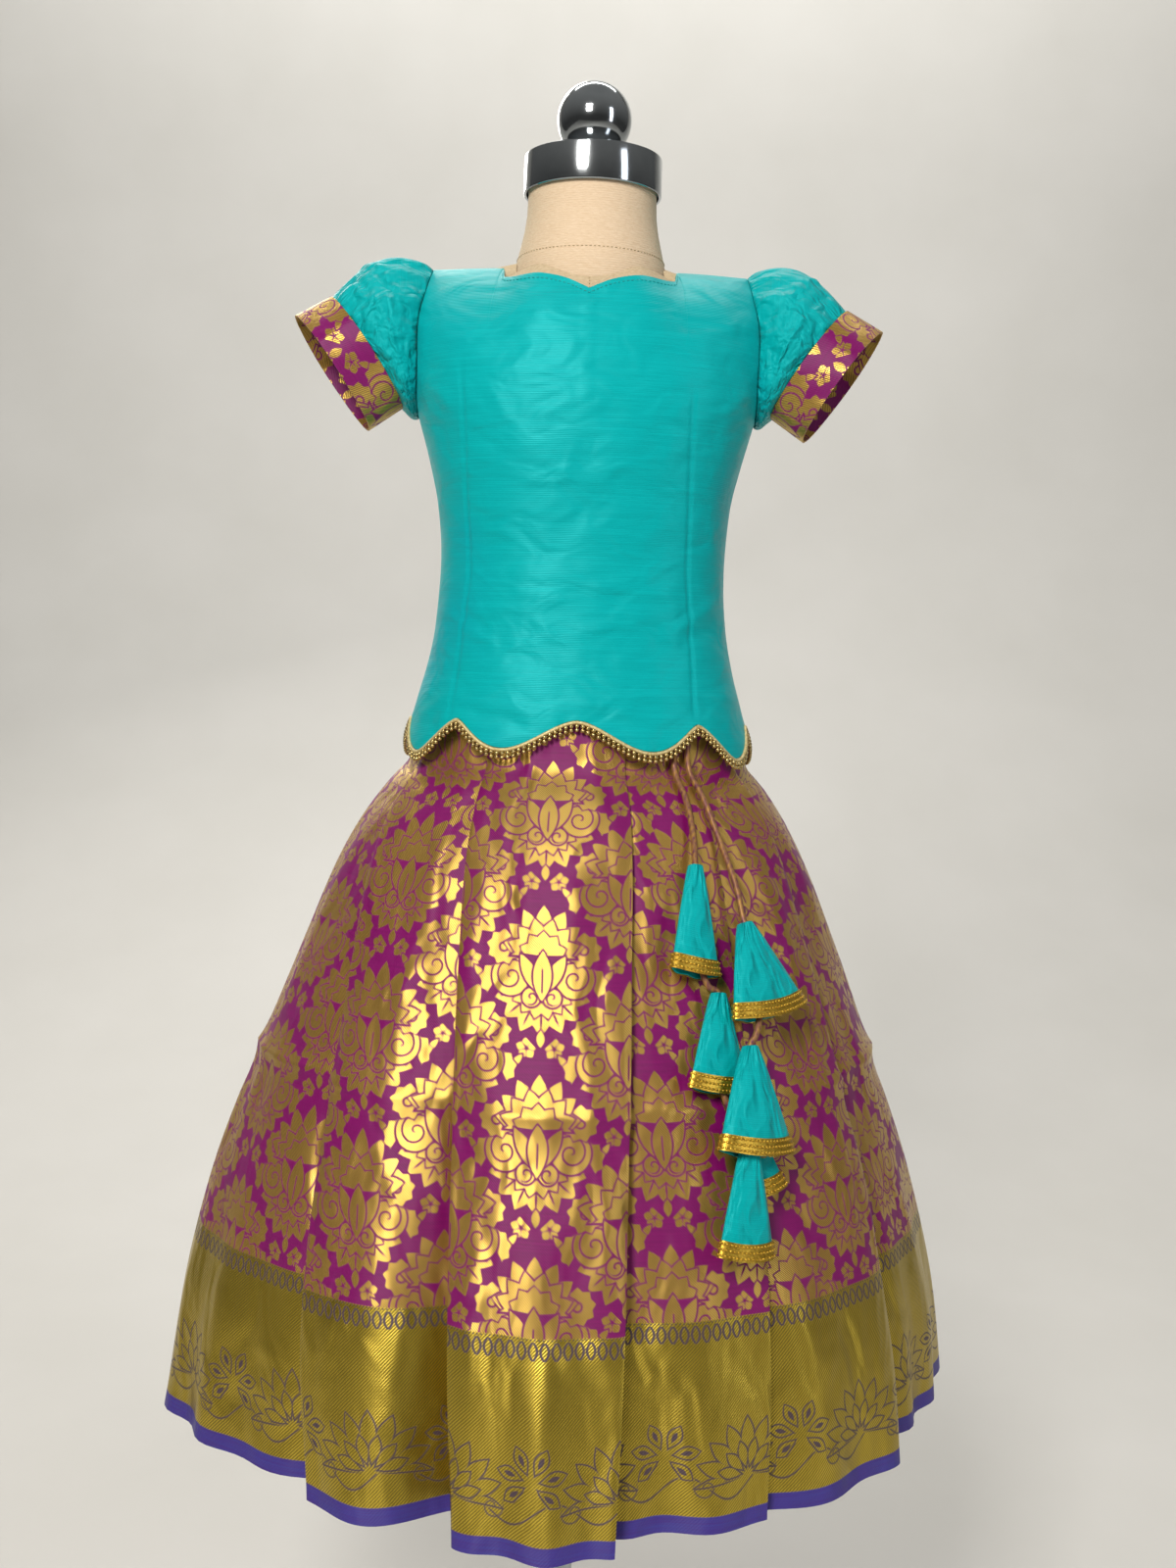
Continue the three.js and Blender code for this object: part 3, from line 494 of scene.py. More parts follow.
def petal_fan(tree, x, y, step, start, end, half, reach=3.2, shift=0.0):
    """Petals round a middle, one in every step of angle, from radius start to end."""
    r, a = polar(tree, x, y)
    turn = formula(tree, "a - nearest(a / s - h) * s - h * s", a=a, s=step, h=shift)
    along = formula(tree, "r * cos(t)", r=r, t=turn)
    share = formula(tree, "unit((x - p) / q)", x=along, p=start, q=end - start)
    width = formula(tree, "w * sin(3.1416 * u ** 1.25)", w=half, u=share)
    beyond = formula(tree, "max(x - e, 0) + max(p - x, 0)", x=along, e=end, p=start)
    petal = formula(tree, "abs(r * sin(t)) - w + 0.25 + b", r=r, t=turn, w=width, b=beyond)
    return formula(tree, "max(p, (abs(a) - m) * r)", p=petal, a=a, m=reach, r=r)


def leaf(tree, x, y, long, half, lean=0.0):
    """A pointed leaf with its middle at the origin, leaning by an angle."""
    c, s = float(np.cos(lean)), float(np.sin(lean))
    up = formula(tree, "y * c + x * s", x=x, y=y, c=c, s=s)
    side = formula(tree, "abs(x * c - y * s)", x=x, y=y, c=c, s=s)
    return formula(tree, "side - w * (1 - (up / l) ** 2)", side=side, w=half, up=up, l=long)


def volute(tree, x, y, radius, pitch):
    """A scroll: its disc, and the thin spiral gap that is cut into it."""
    r, a = polar(tree, x, y)
    disc = formula(tree, "r - b", r=r, b=radius)
    turns = formula(tree, "fract(a / 6.2832 + r / p)", a=a, r=r, p=pitch)
    gap = formula(tree, "max(abs(f - 0.5) * p - 0.45, d + 0.8)", f=turns, p=pitch, d=disc)
    return disc, gap


def inlay(tree, gold, shape):
    """Lays one gold shape over what is woven so far, with a line of ground round it."""
    text = "max(g * unit(d * 1.1 - 0.85), unit(0.5 - d * 1.6))"
    return formula(tree, text, g=gold, d=shape)


def cut(tree, gold, shape):
    """Takes a shape out of the gold."""
    return formula(tree, "g * unit(d * 1.8 + 0.3)", g=gold, d=shape)


# %% The spray of the field
def field_spray(tree, across, up):
    """Gold where the field's sprays are, from 0 to 1."""
    half_wide, half_tall = SPRAY_WIDE / 2, SPRAY_TALL / 2
    ax = wrapped(tree, across, SPRAY_WIDE)
    ay = wrapped(tree, up, SPRAY_TALL)
    diamond = "above(abs(x) / h + abs(y) / k, 1)"
    other = formula(tree, diamond, x=ax, y=ay, h=half_wide, k=half_tall)
    shifted = "v - o * h * (2 * above(v, 0) - 1)"
    x = formula(tree, "abs(v)", v=formula(tree, shifted, v=ax, o=other, h=half_wide))
    y = formula(tree, shifted, v=ay, o=other, h=half_tall)

    def at(dx, dy):
        return formula(tree, "x - d", x=x, d=dx), formula(tree, "y - d", y=y, d=dy)

    stem, flowers, crown = at(0, -11), at(24.5, 11.0), at(0, 7)
    down = stem[0], formula(tree, "0 - y", y=stem[1])
    scroll, scroll_gap = volute(tree, *at(19.5, -6.0), 11.5, 6.4)
    curl, curl_gap = volute(tree, *at(6.4, -18.0), 5.4, 4.4)
    shapes = [
        # a small five-petalled flower with a leaf below it, in the gap beside each spray
        (inlay, petal_fan(tree, *at(44.5, 2.5), 2 * np.pi / 5, 0.5, 6.6, 2.6)),
        (inlay, leaf(tree, *at(39.0, -5.0), 5.0, 1.9, 0.7)),
        # leaves that spread down from the stem, with a vein in each
        (inlay, petal_fan(tree, *down, 0.43, 2.0, 30.0, 6.4, 1.8)),
        (cut, petal_fan(tree, *down, 0.43, 12.0, 27.0, 0.75, 1.8)),
        (inlay, petal_fan(tree, *down, 0.43, 2.0, 20.0, 4.4, 1.7, 0.5)),
        # leaves that curl up and out from the scrolls
        (inlay, petal_fan(tree, *at(29.0, -9.0), 0.7, 0.5, 10.5, 3.8, 2.6)),
        # the scrolls, part of each hidden by the flowers round it
        (inlay, scroll),
        (cut, scroll_gap),
        # flower clusters at the sides
        (inlay, petal_fan(tree, *flowers, 0.698, 0.5, 11.0, 3.7)),
        (inlay, formula(tree, "sqrt(x * x + y * y) - 2.0", x=flowers[0], y=flowers[1])),
        # the lotus crown: a tall back row, a middle row and a short front row
        (inlay, tall_fan(tree, *crown, formula(tree, "31 + 5 * o", o=other))),
        (inlay, petal_fan(tree, *crown, 0.5, 1.0, 23.0, 5.0, 1.6, 0.5)),
        (inlay, petal_fan(tree, *crown, 0.62, 1.0, 15.0, 4.2, 1.5)),
        # the small pair of curls at the foot, then the bud between two leaves
        (inlay, curl),
        (cut, curl_gap),
        (inlay, leaf(tree, *at(7.5, -4.0), 13.0, 4.2, 0.5)),
        (inlay, leaf(tree, *at(0, -5), 15.0, 5.6)),
        (cut, formula(tree, "max(abs(x) - 0.4, abs(y + 8) - 7)", x=x, y=y)),
        # the pendant
        (inlay, leaf(tree, *at(0, -42), 5.0, 2.4)),
    ]
    gold = 0.0
    for lay, shape in shapes:
        gold = lay(tree, gold, shape)
    return gold


def tall_fan(tree, x, y, far):
    """The crown's back row, whose petals are longer in the middle."""
    r, a = polar(tree, x, y)
    turn = wrapped(tree, a, 0.44)
    length = formula(tree, "f * (0.72 + 0.28 * cos(a * 0.9))", f=far, a=a)
    along = formula(tree, "r * cos(t)", r=r, t=turn)
    share = formula(tree, "unit((x - 4) / (f - 4))", x=along, f=length)
    petal = formula(
        tree,
        "abs(r * sin(t)) - 5.2 * sin(3.1416 * u ** 1.3) + 0.25 + max(x - f, 0)",
        r=r,
        t=turn,
        u=share,
        x=along,
        f=length,
    )
    return formula(tree, "max(p, (abs(a) - 1.6) * r)", p=petal, a=a, r=r)


# %% The lotus vine and the temple row of the border
def vine_lines(tree, across, up):
    """Dark outlines on the border: a lotus and a leaf cluster in turn, joined by a vine."""
    half = VINE_REPEAT / 2
    lotus_x = wrapped(tree, across, VINE_REPEAT)
    lotus = lotus_x, formula(tree, "y - 30", y=up)
    leaf_x = wrapped(tree, formula(tree, "v + h", v=across, h=half), VINE_REPEAT)
    leaves = leaf_x, formula(tree, "y - 44", y=up)
    back = petal_fan(tree, *lotus, 0.42, 4.0, 35.0, 5.6, 1.7)
    front = petal_fan(tree, *lotus, 0.52, 2.0, 22.0, 4.2, 1.6, 0.5)
    cluster = petal_fan(tree, *leaves, 0.9, 3.0, 21.0, 4.6, 2.5, 0.5)
    line = "unit(1.25 - abs(d + 0.5) * 1.35)"
    behind = formula(tree, line + " * unit(min(o * 1.2, 1))", d=back, o=front)
    swing = formula(tree, "26 + 7 * sin(v * w)", v=across, w=2 * np.pi / half)
    apart = formula(tree, "unit(min(a, b) * 0.7)", a=back, b=cluster)
    stem = formula(tree, "unit(1.2 - abs(y - s) * 1.1) * c", y=up, s=swing, c=apart)
    eye = petal_fan(tree, *leaves, 0.9, 8.0, 16.5, 1.7, 2.5, 0.5)
    curl_x = formula(tree, "abs(x) - 27", x=lotus_x)
    r, a = polar(tree, curl_x, formula(tree, "y - 27", y=up))
    curl = "unit(1 - abs(fract(a / 6.2832 + r / 5.5) - 0.5) * 6) * unit(7.5 - r)"
    strokes = [
        formula(tree, line, d=front),
        formula(tree, line, d=cluster),
        stem,
        formula(tree, curl, a=a, r=r),
        formula(tree, "unit(0.5 - e * 2)", e=eye),
    ]
    drawn = behind
    for stroke in strokes:
        drawn = formula(tree, "max(a, b)", a=drawn, b=stroke)
    return drawn


def temple_row(tree, across, up):
    """Small pointed loops in a row along the top of the border, under a thin dotted line."""
    x = formula(tree, "abs(v)", v=wrapped(tree, across, TEMPLE_PITCH))
    y = formula(tree, "y - f", y=up, f=TEMPLE_FOOT)
    loop = formula(tree, "abs(x - 2.35 * abs(sin(y * 0.30))) - 0.7", x=x, y=y)
    inside = formula(tree, "unit(y * 2) * unit((10.4 - y) * 2)", y=y)
    row = formula(tree, "unit(0.6 - l * 1.6) * i", l=loop, i=inside)
    dotted = "unit(1.1 - abs(y - 11.3) * 1.6) * unit(sin(v * w) * 2)"
    dots = formula(tree, dotted, y=y, v=across, w=2 * np.pi / DOT_PITCH)
    return formula(tree, "max(a, b)", a=row, b=dots)


# %% The brocade's material
CRUMPLE_DEPTH = 0.006  # metres


def brocade(name):
    material, tree = start_material(name)
    place = add_node(tree, "ShaderNodeTexCoord").outputs["UV"]
    axes = add_node(tree, "ShaderNodeSeparateXYZ", {}, {"Vector": place})
    across = formula(tree, "v * w", v=axes.outputs["X"], w=CLOTH_WIDTH)
    up = formula(tree, "v * w", v=axes.outputs["Y"], w=CLOTH_WIDTH)
    slub = stretched_noise(tree, place, (1.0, 30.0, 1.0), Scale=55.0, Detail=3.0)
    # twills: the gold threads are bound in slanting lines, drawn at 1.5 mm and 2 mm
    field_twill = formula(tree, "0.5 + 0.5 * sin((u + v) * 4.19 + n * 2)", u=across, v=up, n=slub)
    border_twill = formula(tree, "0.5 + 0.5 * sin((u - v) * 3.14 + n * 2)", u=across, v=up, n=slub)
    gold = field_spray(tree, across, formula(tree, "v - f", v=up, f=SPRAY_FOOT))
    vine = vine_lines(tree, across, up)
    temple = temple_row(tree, across, up)
    # the field
    silk = add_node(
        tree, "ShaderNodeMix", COLOUR_MIX, {0: slub, 6: PURPLE_SILK, 7: PURPLE_LIGHT}
    ).outputs[2]
    metal = formula(tree, "0.12 + 0.88 * t", t=field_twill)
    zari = add_node(tree, "ShaderNodeMix", COLOUR_MIX, {0: metal, 6: COPPER, 7: PALE_GOLD}).outputs[2]
    field = add_node(tree, "ShaderNodeMix", COLOUR_MIX, {0: gold, 6: silk, 7: zari}).outputs[2]
    field_metal = formula(tree, "g * (0.3 + 0.7 * t)", g=gold, t=field_twill)
    # the border
    band = formula(tree, "0.3 + 0.7 * t", t=border_twill)
    band_gold = add_node(
        tree, "ShaderNodeMix", COLOUR_MIX, {0: band, 6: BORDER_DARK, 7: BORDER_GOLD}
    ).outputs[2]
    lines = formula(tree, "max(a, b) * 0.9", a=vine, b=temple)
    border = add_node(
        tree, "ShaderNodeMix", COLOUR_MIX, {0: lines, 6: band_gold, 7: BORDER_LINE}
    ).outputs[2]
    border_metal = formula(tree, "(0.7 + 0.3 * t) * (1 - l)", t=border_twill, l=lines)
    # the selvedge
    edge = add_node(
        tree, "ShaderNodeMix", COLOUR_MIX, {0: slub, 6: SELVEDGE_PLUM, 7: SELVEDGE_BLUE}
    ).outputs[2]
    in_border = formula(tree, "unit((t - v) * 1.5)", t=BORDER_TOP + 1.5, v=up)
    in_edge = formula(tree, "unit((t - v) * 1.5)", t=SELVEDGE_TOP, v=up)
    lower = add_node(tree, "ShaderNodeMix", COLOUR_MIX, {0: in_border, 6: field, 7: border}).outputs[2]
    base = add_node(tree, "ShaderNodeMix", COLOUR_MIX, {0: in_edge, 6: lower, 7: edge}).outputs[2]
    metallic = formula(
        tree, "(f + (b - f) * i) * (1 - e)", f=field_metal, b=border_metal, i=in_border, e=in_edge
    )
    rough = formula(tree, "0.52 - 0.2 * m + 0.1 * (n - 0.5)", m=metallic, n=slub)
    weave = formula(tree, "f + (b - f) * i + n * 0.5", f=field_twill, b=border_twill, i=in_border, n=slub)
    noise = {"Scale": 29.0, "Detail": 2.0, "Distortion": 0.4}
    dents = stretched_noise(tree, place, (2.0, 1.0, 1.0), **noise)
    bump = cloth_relief(tree, dents, CRUMPLE_DEPTH, weave, 0.3)
    tangent = add_node(
        tree, "ShaderNodeTangent", {"direction_type": "UV_MAP", "uv_map": "UVMap"}
    ).outputs[0]
    end_material(
        tree,
        {
            "Base Color": base,
            "Metallic": metallic,
            "Roughness": rough,
            "Normal": bump,
            "Tangent": tangent,
            "Anisotropic": 0.75,
            "Anisotropic Rotation": 0.25,
            "Specular IOR Level": 0.4,
        },
    )
    return material


skirt_brocade = brocade("silk_brocade_with_gold_border")
print("brocade nodes:", len(skirt_brocade.node_tree.nodes))

# %% [markdown]
# ## The finishes of the trim and the form
#
# The beads and the braid are gilt, the piping is cream cord, the form is covered with cotton
# jersey and its collar with a ribbed one, and the cap, the ball and the stand are chromed steel.
# Each gets one noise or wave at the size of its real thread, wear or knit.


# %% Gilt, piping, jersey and chrome
def noisy_material(name, low, high, scale, stretch, rough, metallic=0.0, bump=0.0002, ribs=0.0):
    """A finish of two colours mixed by one stretched noise, with ribs round it if asked for."""
    material, tree = start_material(name)
    place = add_node(tree, "ShaderNodeTexCoord").outputs["Object"]
    grain = stretched_noise(tree, place, stretch, Scale=scale, Detail=4.0)
    height = grain
    if ribs:
        up = add_node(tree, "ShaderNodeSeparateXYZ", {}, {"Vector": place}).outputs["Z"]
        ribbed = "0.5 + 0.5 * sin(z * w) + 0.4 * n"
        height = formula(tree, ribbed, z=up, w=2 * np.pi / (ribs * MM), n=grain)
    share = formula(tree, "unit(n * 2 - 0.5)", n=grain)
    base = add_node(
        tree, "ShaderNodeMix", COLOUR_MIX, {0: share, 6: colour(low), 7: colour(high)}
    ).outputs[2]
    worn = formula(tree, "r + 0.12 * (n - 0.5)", r=rough, n=grain)
    relief = add_node(
        tree, "ShaderNodeBump", {}, {"Strength": 0.4, "Distance": bump, "Height": height}
    ).outputs[0]
    end_material(tree, {"Base Color": base, "Roughness": worn, "Metallic": metallic, "Normal": relief})
    return material


EVEN = (1, 1, 1)  # noise that isn't drawn out
gilt = noisy_material("gilt_beads", "#8A6A2A", "#F2DFA0", 900.0, EVEN, 0.25, 0.95)
piping_cream = noisy_material("cream_and_gold_piping", "#B8974F", "#F0E2B0", 700.0, EVEN, 0.55, 0.3)
braid_gold = noisy_material("gold_braid", "#9A7420", "#E9C14A", 800.0, EVEN, 0.35, 0.85)
form_jersey = noisy_material("cotton_jersey", "#BFA885", "#D8C3A1", 420.0, (1, 1, 3), 0.9)
collar_jersey = noisy_material(
    "ribbed_collar_jersey", "#D9BD9A", "#EBD3B5", 300.0, (1, 1, 6), 0.85, 0.0, 0.0003, 1.5
)
chromed_steel = noisy_material("chromed_steel", "#A2A8AC", "#C4C9CC", 30.0, EVEN, 0.1, 1.0, 0.00001)
stitch_teal = noisy_material("teal_sewing_thread", "#067A7C", "#15A9A8", 900.0, EVEN, 0.6)
stitch_beige = noisy_material("beige_sewing_thread", "#9C8763", "#C9B48E", 900.0, EVEN, 0.7)
print("finishes:", len(bpy.data.materials))

# %% [markdown]
# ## The skirt's form
#
# The skirt is a straight length of brocade laid in knife pleats at the waist and left free at the
# hem, where each pleat opens into a flute. A cloth simulation would need the exact way it was sewn,
# so the folds are laid out one by one instead: one row of a table for each pleat. Every ring of the skirt
# then holds the same length of cloth, because the depth of the tucks is solved for it.

# %% Pleats and rings of the skirt
GAP = 0.3  # between sewn pieces
SKIRT_WALL = 1.4
SKIRT_HEM = 345.0
SKIRT_TOP = 852.0
FOLDS_START = 785.0
LAYER_STEP = 2.2  # from one layer of a pleat to the next
WAIST_RADIUS, HEM_RADIUS = 118, 250  # between which a pleat's edge runs straight
OPENING = 8  # how far a tuck spreads until its layers lie apart
TUCK_LIMITS = (-0.3, 0.92)  # shares of a face
TUCK_STEPS = 18
CORNER_LIMIT = 0.62  # how far a wall's corner may be drawn out at a fold
SKIRT = {
    "z": [345, 420, 490, 550, 605, 655, 700, 730, 755, 770, 784, 812, 852],
    "side": [252, 246, 230, 212, 193, 175, 159, 145, 129, 116.6, 113, 107.8, 98.2],
    "deep": [250, 241, 225, 204, 183, 161, 141, 124, 104, 87.4, 84.4, 80.4, 74.4],
}
# top angle, hem angle, how far out, drop behind the edge, bulge of the face before it, its points
RIGHT_PLEATS = [
    (16, 7.5, 8, 22, 8, 5),
    (40, 30, -2, 10, 1, 4),
    (66, 56, 4, 20, 4, 5),
    (92, 90, 16, 24, 5, 5),
    (118, 114, 24, 30, 6, 5),
    (141, 139, 4, 20, 6, 4),
    (165, 163, 8, 24, 8, 4),
]
LEFT_PLEATS = [
    (31, 12.5, 4, 44, 8, 4),
    (66, 35, 4, 27, 17, 5),
    (95, 72, 24, 26, 7, 5),
    (121, 116, 18, 26, 6, 5),
    (143, 141, 8, 22, 6, 4),
    (166, 165, 6, 22, 6, 4),
]
RIGHT_SEAM_FACE = 4
LEFT_SEAM_FACE = 3
BACK_POINTS = 3


def fold_growth(z):
    start = FOLDS_START - 15
    return float(np.clip((start - z) / (start - SKIRT_HEM), 0, 1)) ** 0.9


def edge_angle(pleat, z):
    """The angle of a pleat's edge at height z, so that the edge runs straight."""
    fall = float(np.clip((FOLDS_START - z) / (FOLDS_START - SKIRT_HEM), 0, 1))
    share = fall * HEM_RADIUS / ((1 - fall) * WAIST_RADIUS + fall * HEM_RADIUS)
    return np.radians(lerp(pleat[0], pleat[1], share))


def pleat_turns(pleats, other_first, z, base, tuck):
    """The four turning points of each pleat of one side, as (angle, how far out)."""
    growth = fold_growth(z)
    edges = [edge_angle(pleat, z) for pleat in pleats]
    folds = []
    for i, (_, _, stand, fall, bulge, _) in enumerate(pleats):
        t = edges[i]
        face = t - edges[i - 1] if i else (t + edge_angle(other_first, z)) / 2
        per_radian = np.hypot(base[0] * np.cos(t), base[1] * np.sin(t))
        out = stand * growth
        drop = 2 * LAYER_STEP + (fall - 2 * LAYER_STEP) * growth
        back = tuck * face
        opened = float(np.clip(-back * per_radian / OPENING, 0, 1))
        side = LAYER_STEP * opened / per_radian
        slope = 0.0
        if i + 1 < len(pleats):
            rise = pleats[i + 1][2] * growth - (out - drop)
            slope = max(back, 0) * rise / (edges[i + 1] - t)
        lift = LAYER_STEP * (1 - opened)
        turns = [
            (t, out),
            (t + side, out - lift),
            (t - back, out - drop - slope + lift),
            (t - back + side, out - drop - slope),
        ]
        folds.append((bulge * growth, turns))
    return folds


def face_points(start, end, count, bulge):
    share = [(i + 1) / (count + 1) for i in range(count)]
    return [
        (lerp(start[0], end[0], u), lerp(start[1], end[1], u) + bulge * np.sin(np.pi * u))
        for u in share
    ]


def side_path(folds, pleats, seam_face):
    path = list(folds[0][1])
    seam = 0
    for i in range(1, len(folds)):
        count = pleats[i][5]
        if i == seam_face:
            seam = len(path) + (count - 1) // 2
        path += face_points(path[-1], folds[i][1][0], count, folds[i][0])
        path += folds[i][1]
    return path, seam


def skirt_plan(z, tuck):
    """One ring in plan from the centre back by the left side, and where its seams are."""
    base = (float(read_table(SKIRT, "side", z)), float(read_table(SKIRT, "deep", z)))
    right = pleat_turns(RIGHT_PLEATS, LEFT_PLEATS[0], z, base, tuck)
    left = pleat_turns(LEFT_PLEATS, RIGHT_PLEATS[0], z, base, tuck)
    right_path, right_seam = side_path(right, RIGHT_PLEATS, RIGHT_SEAM_FACE)
    left_path, left_seam = side_path(left, LEFT_PLEATS, LEFT_SEAM_FACE)
    mirrored = [(-t, out) for t, out in reversed(left_path)]
    centre = face_points(mirrored[-1], right_path[0], RIGHT_PLEATS[0][5], right[0][0])
    closing = (mirrored[0][0] + 2 * np.pi, mirrored[0][1])
    behind = face_points(right_path[-1], closing, BACK_POINTS, -4 * fold_growth(z))
    t, out = np.array([*mirrored, *centre, *right_path, *behind]).T
    normal = unit_rows(np.stack([np.sin(t) / base[0], -np.cos(t) / base[1]], -1))
    points = np.stack([base[0] * np.sin(t), -base[1] * np.cos(t)], -1) + normal * out[:, None]
    marks = {
        "left": len(mirrored) - 1 - left_seam,
        "right": len(mirrored) + len(centre) + right_seam,
        "middle": len(mirrored) + len(centre) // 2,
    }
    return points, marks


def ring_steps(points):
    return np.linalg.norm(np.roll(points, -1, axis=0) - points, axis=1)


def settled_plan(z):
    """The ring whose tucks take up the whole width of the cloth."""
    shallow, deep = TUCK_LIMITS
    for _ in range(TUCK_STEPS):
        tuck = (shallow + deep) / 2
        if ring_steps(skirt_plan(z, tuck)[0]).sum() > CLOTH_WIDTH:
            deep = tuck
        else:
            shallow = tuck
    return skirt_plan(z, shallow)


def plan_normals(points):
    into = unit_rows(points - np.roll(points, 1, axis=0))
    away = unit_rows(np.roll(points, -1, axis=0) - points)
    along = into + away
    sharp = np.clip(np.linalg.norm(along, axis=1, keepdims=True) / 2, CORNER_LIMIT, 1)
    along = unit_rows(along)
    return np.stack([along[:, 1], -along[:, 0]], -1) / sharp


table_rings = []
for height in SKIRT["z"]:
    plan = settled_plan(height)[0]
    table_rings.append(plan + plan_normals(plan) * SKIRT_WALL / 2)
print("points in a ring:", len(table_rings[0]))

# %% [markdown]
# ## Cords and bells
#
# Two cords, called doris, come out from under the blouse and carry three cloth bells each. The
# bells are flattened cones of gathered silk with a strip of gold braid round the mouth. Each cord
# runs down through its bells on one smooth curve, held off the brocade, so its points are given
# as an angle round the skirt, a height, and how far they stand off the cloth.


# %% Places in front of the skirt
def skirt_reach(degrees, z):
    """How far the skirt's outermost cloth stands from the axis."""
    heights = SKIRT["z"]
    above = next(i for i, height in enumerate(heights) if height >= z)
    share = (z - heights[above - 1]) / (heights[above] - heights[above - 1])
    ring = lerp(table_rings[above - 1], table_rings[above], share)
    ray = np.array([np.sin(np.radians(degrees)), -np.cos(np.radians(degrees))])
    other = np.roll(ring, -1, axis=0)
    a = ring[:, 0] * ray[1] - ring[:, 1] * ray[0]
    b = other[:, 0] * ray[1] - other[:, 1] * ray[0]
    crossing = a * b <= 0
    share = (a / np.where(crossing, a - b, 1))[crossing, None]
    hits = lerp(ring[crossing], other[crossing], share) @ ray
    return float(hits.max())


def before_skirt(degrees, z, off):
    """A point in front of the cloth, off millimetres clear of it, with room for the braid."""
    r = skirt_reach(degrees, z) + off + BRAID_ROOM * np.clip((BRAID_ROOM_TOP - z) / 40, 0, 1)
    return np.array([r * np.sin(np.radians(degrees)), -r * np.cos(np.radians(degrees)), z])


BRAID_ROOM = 3.0
BRAID_ROOM_TOP = 745.0
# top and mouth are (angle, height), each so far off the cloth; wide and thick are half the mouth's
BELLS = {
    "bell_1": {"top": (31.6, 716), "mouth": (25.7, 655), "off": (8, 12), "wide": 17, "thick": 5},
    "bell_2": {"top": (39.0, 683), "mouth": (39.6, 629), "off": (12, 19), "wide": 31, "thick": 7},
    "bell_3": {"top": (30.6, 643), "mouth": (27.4, 588), "off": (7, 6.5), "wide": 21, "thick": 4},
    "bell_4": {"top": (33, 615), "mouth": (30.3, 556), "off": (17, 19), "wide": 27, "thick": 8},
    "bell_5": {"top": (31.6, 571), "mouth": (32.9, 530), "off": (5.4, 5.6), "wide": 16, "thick": 3.5},
    "bell_6": {"top": (29.4, 564), "mouth": (26.8, 500), "off": (19, 14), "wide": 19, "thick": 4.8},
}
BELL_TOP_RADIUS = 4.8
BELL_WALL = 1.3
BELL_SIDES = 96
CORD_DIAMETER = 4.0
CORDS = {
    "dori_1": {
        "start": [(41.5, 790, 4), (40, 772, 4), (38, 755, 4), (35, 735, 5)],
        "bells": ["bell_1", "bell_3", "bell_5"],
        "between": [(28.3, 648.5, 9), (28.6, 581, 6.4)],
    },
    "dori_2": {
        "start": [(46, 790, 4), (45.5, 772, 4), (44, 755, 4), (42.5, 730, 5), (40.5, 705, 8)],
        "bells": ["bell_2", "bell_4", "bell_6"],
        "between": [(34.5, 621.5, 18)],
    },
}


def bell_ends(name):
    bell = BELLS[name]
    return [before_skirt(*bell[end], off) for end, off in zip(("top", "mouth"), bell["off"])]


print("cloth before the first bell stands", round(skirt_reach(*BELLS["bell_1"]["top"])), "mm out")


# %% Cords
ANY_SLANT = np.array([0.31, 0.95, 0.05])  # a direction that no cord runs in


def smooth_route(points, per_span=10):
    """A centripetal Catmull-Rom curve through the points."""
    p = [2 * points[0] - points[1], *points, 2 * points[-1] - points[-2]]
    route = []
    for i in range(1, len(p) - 2):
        a, b, c, d = p[i - 1 : i + 3]
        before, here, after = (np.sqrt(np.linalg.norm(q - r)) for q, r in ((b, a), (c, b), (d, c)))
        leave = ((b - a) / before - (c - a) / (before + here) + (c - b) / here) * here
        arrive = ((c - b) / here - (d - b) / (here + after) + (d - c) / after) * here
        steps = np.linspace(0, 1, per_span, endpoint=False)
        route += [cubic(u, b, c, leave, arrive) for u in steps]
    return np.array([*route, points[-1]])


def cord_route(cord):
    route = [before_skirt(*place) for place in cord["start"]]
    for i, name in enumerate(cord["bells"]):
        top, mouth = bell_ends(name)
        route += [top, lerp(top, mouth, 0.6)]
        if i < len(cord["between"]):
            route.append(before_skirt(*cord["between"][i]))
    return smooth_route(route)


def route_length(route):
    return float(np.linalg.norm(np.diff(route, axis=0), axis=1).sum())


def tube(name, route, radius, sides=14, closed=False):
    """A round cord along a route, with closed ends or joined into a ring."""
    ahead = np.roll(route, -1, axis=0) - np.roll(route, 1, axis=0)
    if not closed:
        ahead[0] = route[1] - route[0]
        ahead[-1] = route[-1] - route[-2]
    ahead = unit_rows(ahead)
    aside = unit_rows(np.cross(ahead, ANY_SLANT))
    over = np.cross(aside, ahead)
    angle = np.linspace(0, 2 * np.pi, sides, endpoint=False)[:, None]
    circle = np.cos(angle) * aside[:, None] + np.sin(angle) * over[:, None]
    points = (route[:, None] + radius * circle).reshape(-1, 3)
    grid = closed_round(np.arange(len(points)).reshape(len(route), sides))
    if closed:
        return make_piece(name, points, strip_quads(np.vstack([grid, grid[:1]])))
    faces = strip_quads(grid)
    cap = [[len(points), b, a, a] for a, b in zip(grid[0], grid[0][1:])]
    cap += [[len(points) + 1, a, b, b] for a, b in zip(grid[-1], grid[-1][1:])]
    triangles = np.concatenate([faces[:, :3], faces[:, [0, 2, 3]], np.array(cap)[:, :3]])
    return make_piece(name, np.vstack([points, route[0], route[-1]]), triangles)


cord_material = noisy_material(
    "purple_and_gold_cord", "#5E0650", "#B98E3A", 500.0, (1, 1, 0.35), 0.5, 0.35, 0.0004
)
cord_pieces = {}
cord_routes = {}
for name, cord in CORDS.items():
    cord_routes[name] = cord_route(cord)
    cord_pieces[name] = tube(name + "_cord", cord_routes[name], CORD_DIAMETER / 2)
    cord_pieces[name].data.materials.append(cord_material)
    print(name, "runs", round(route_length(cord_routes[name])), "mm")


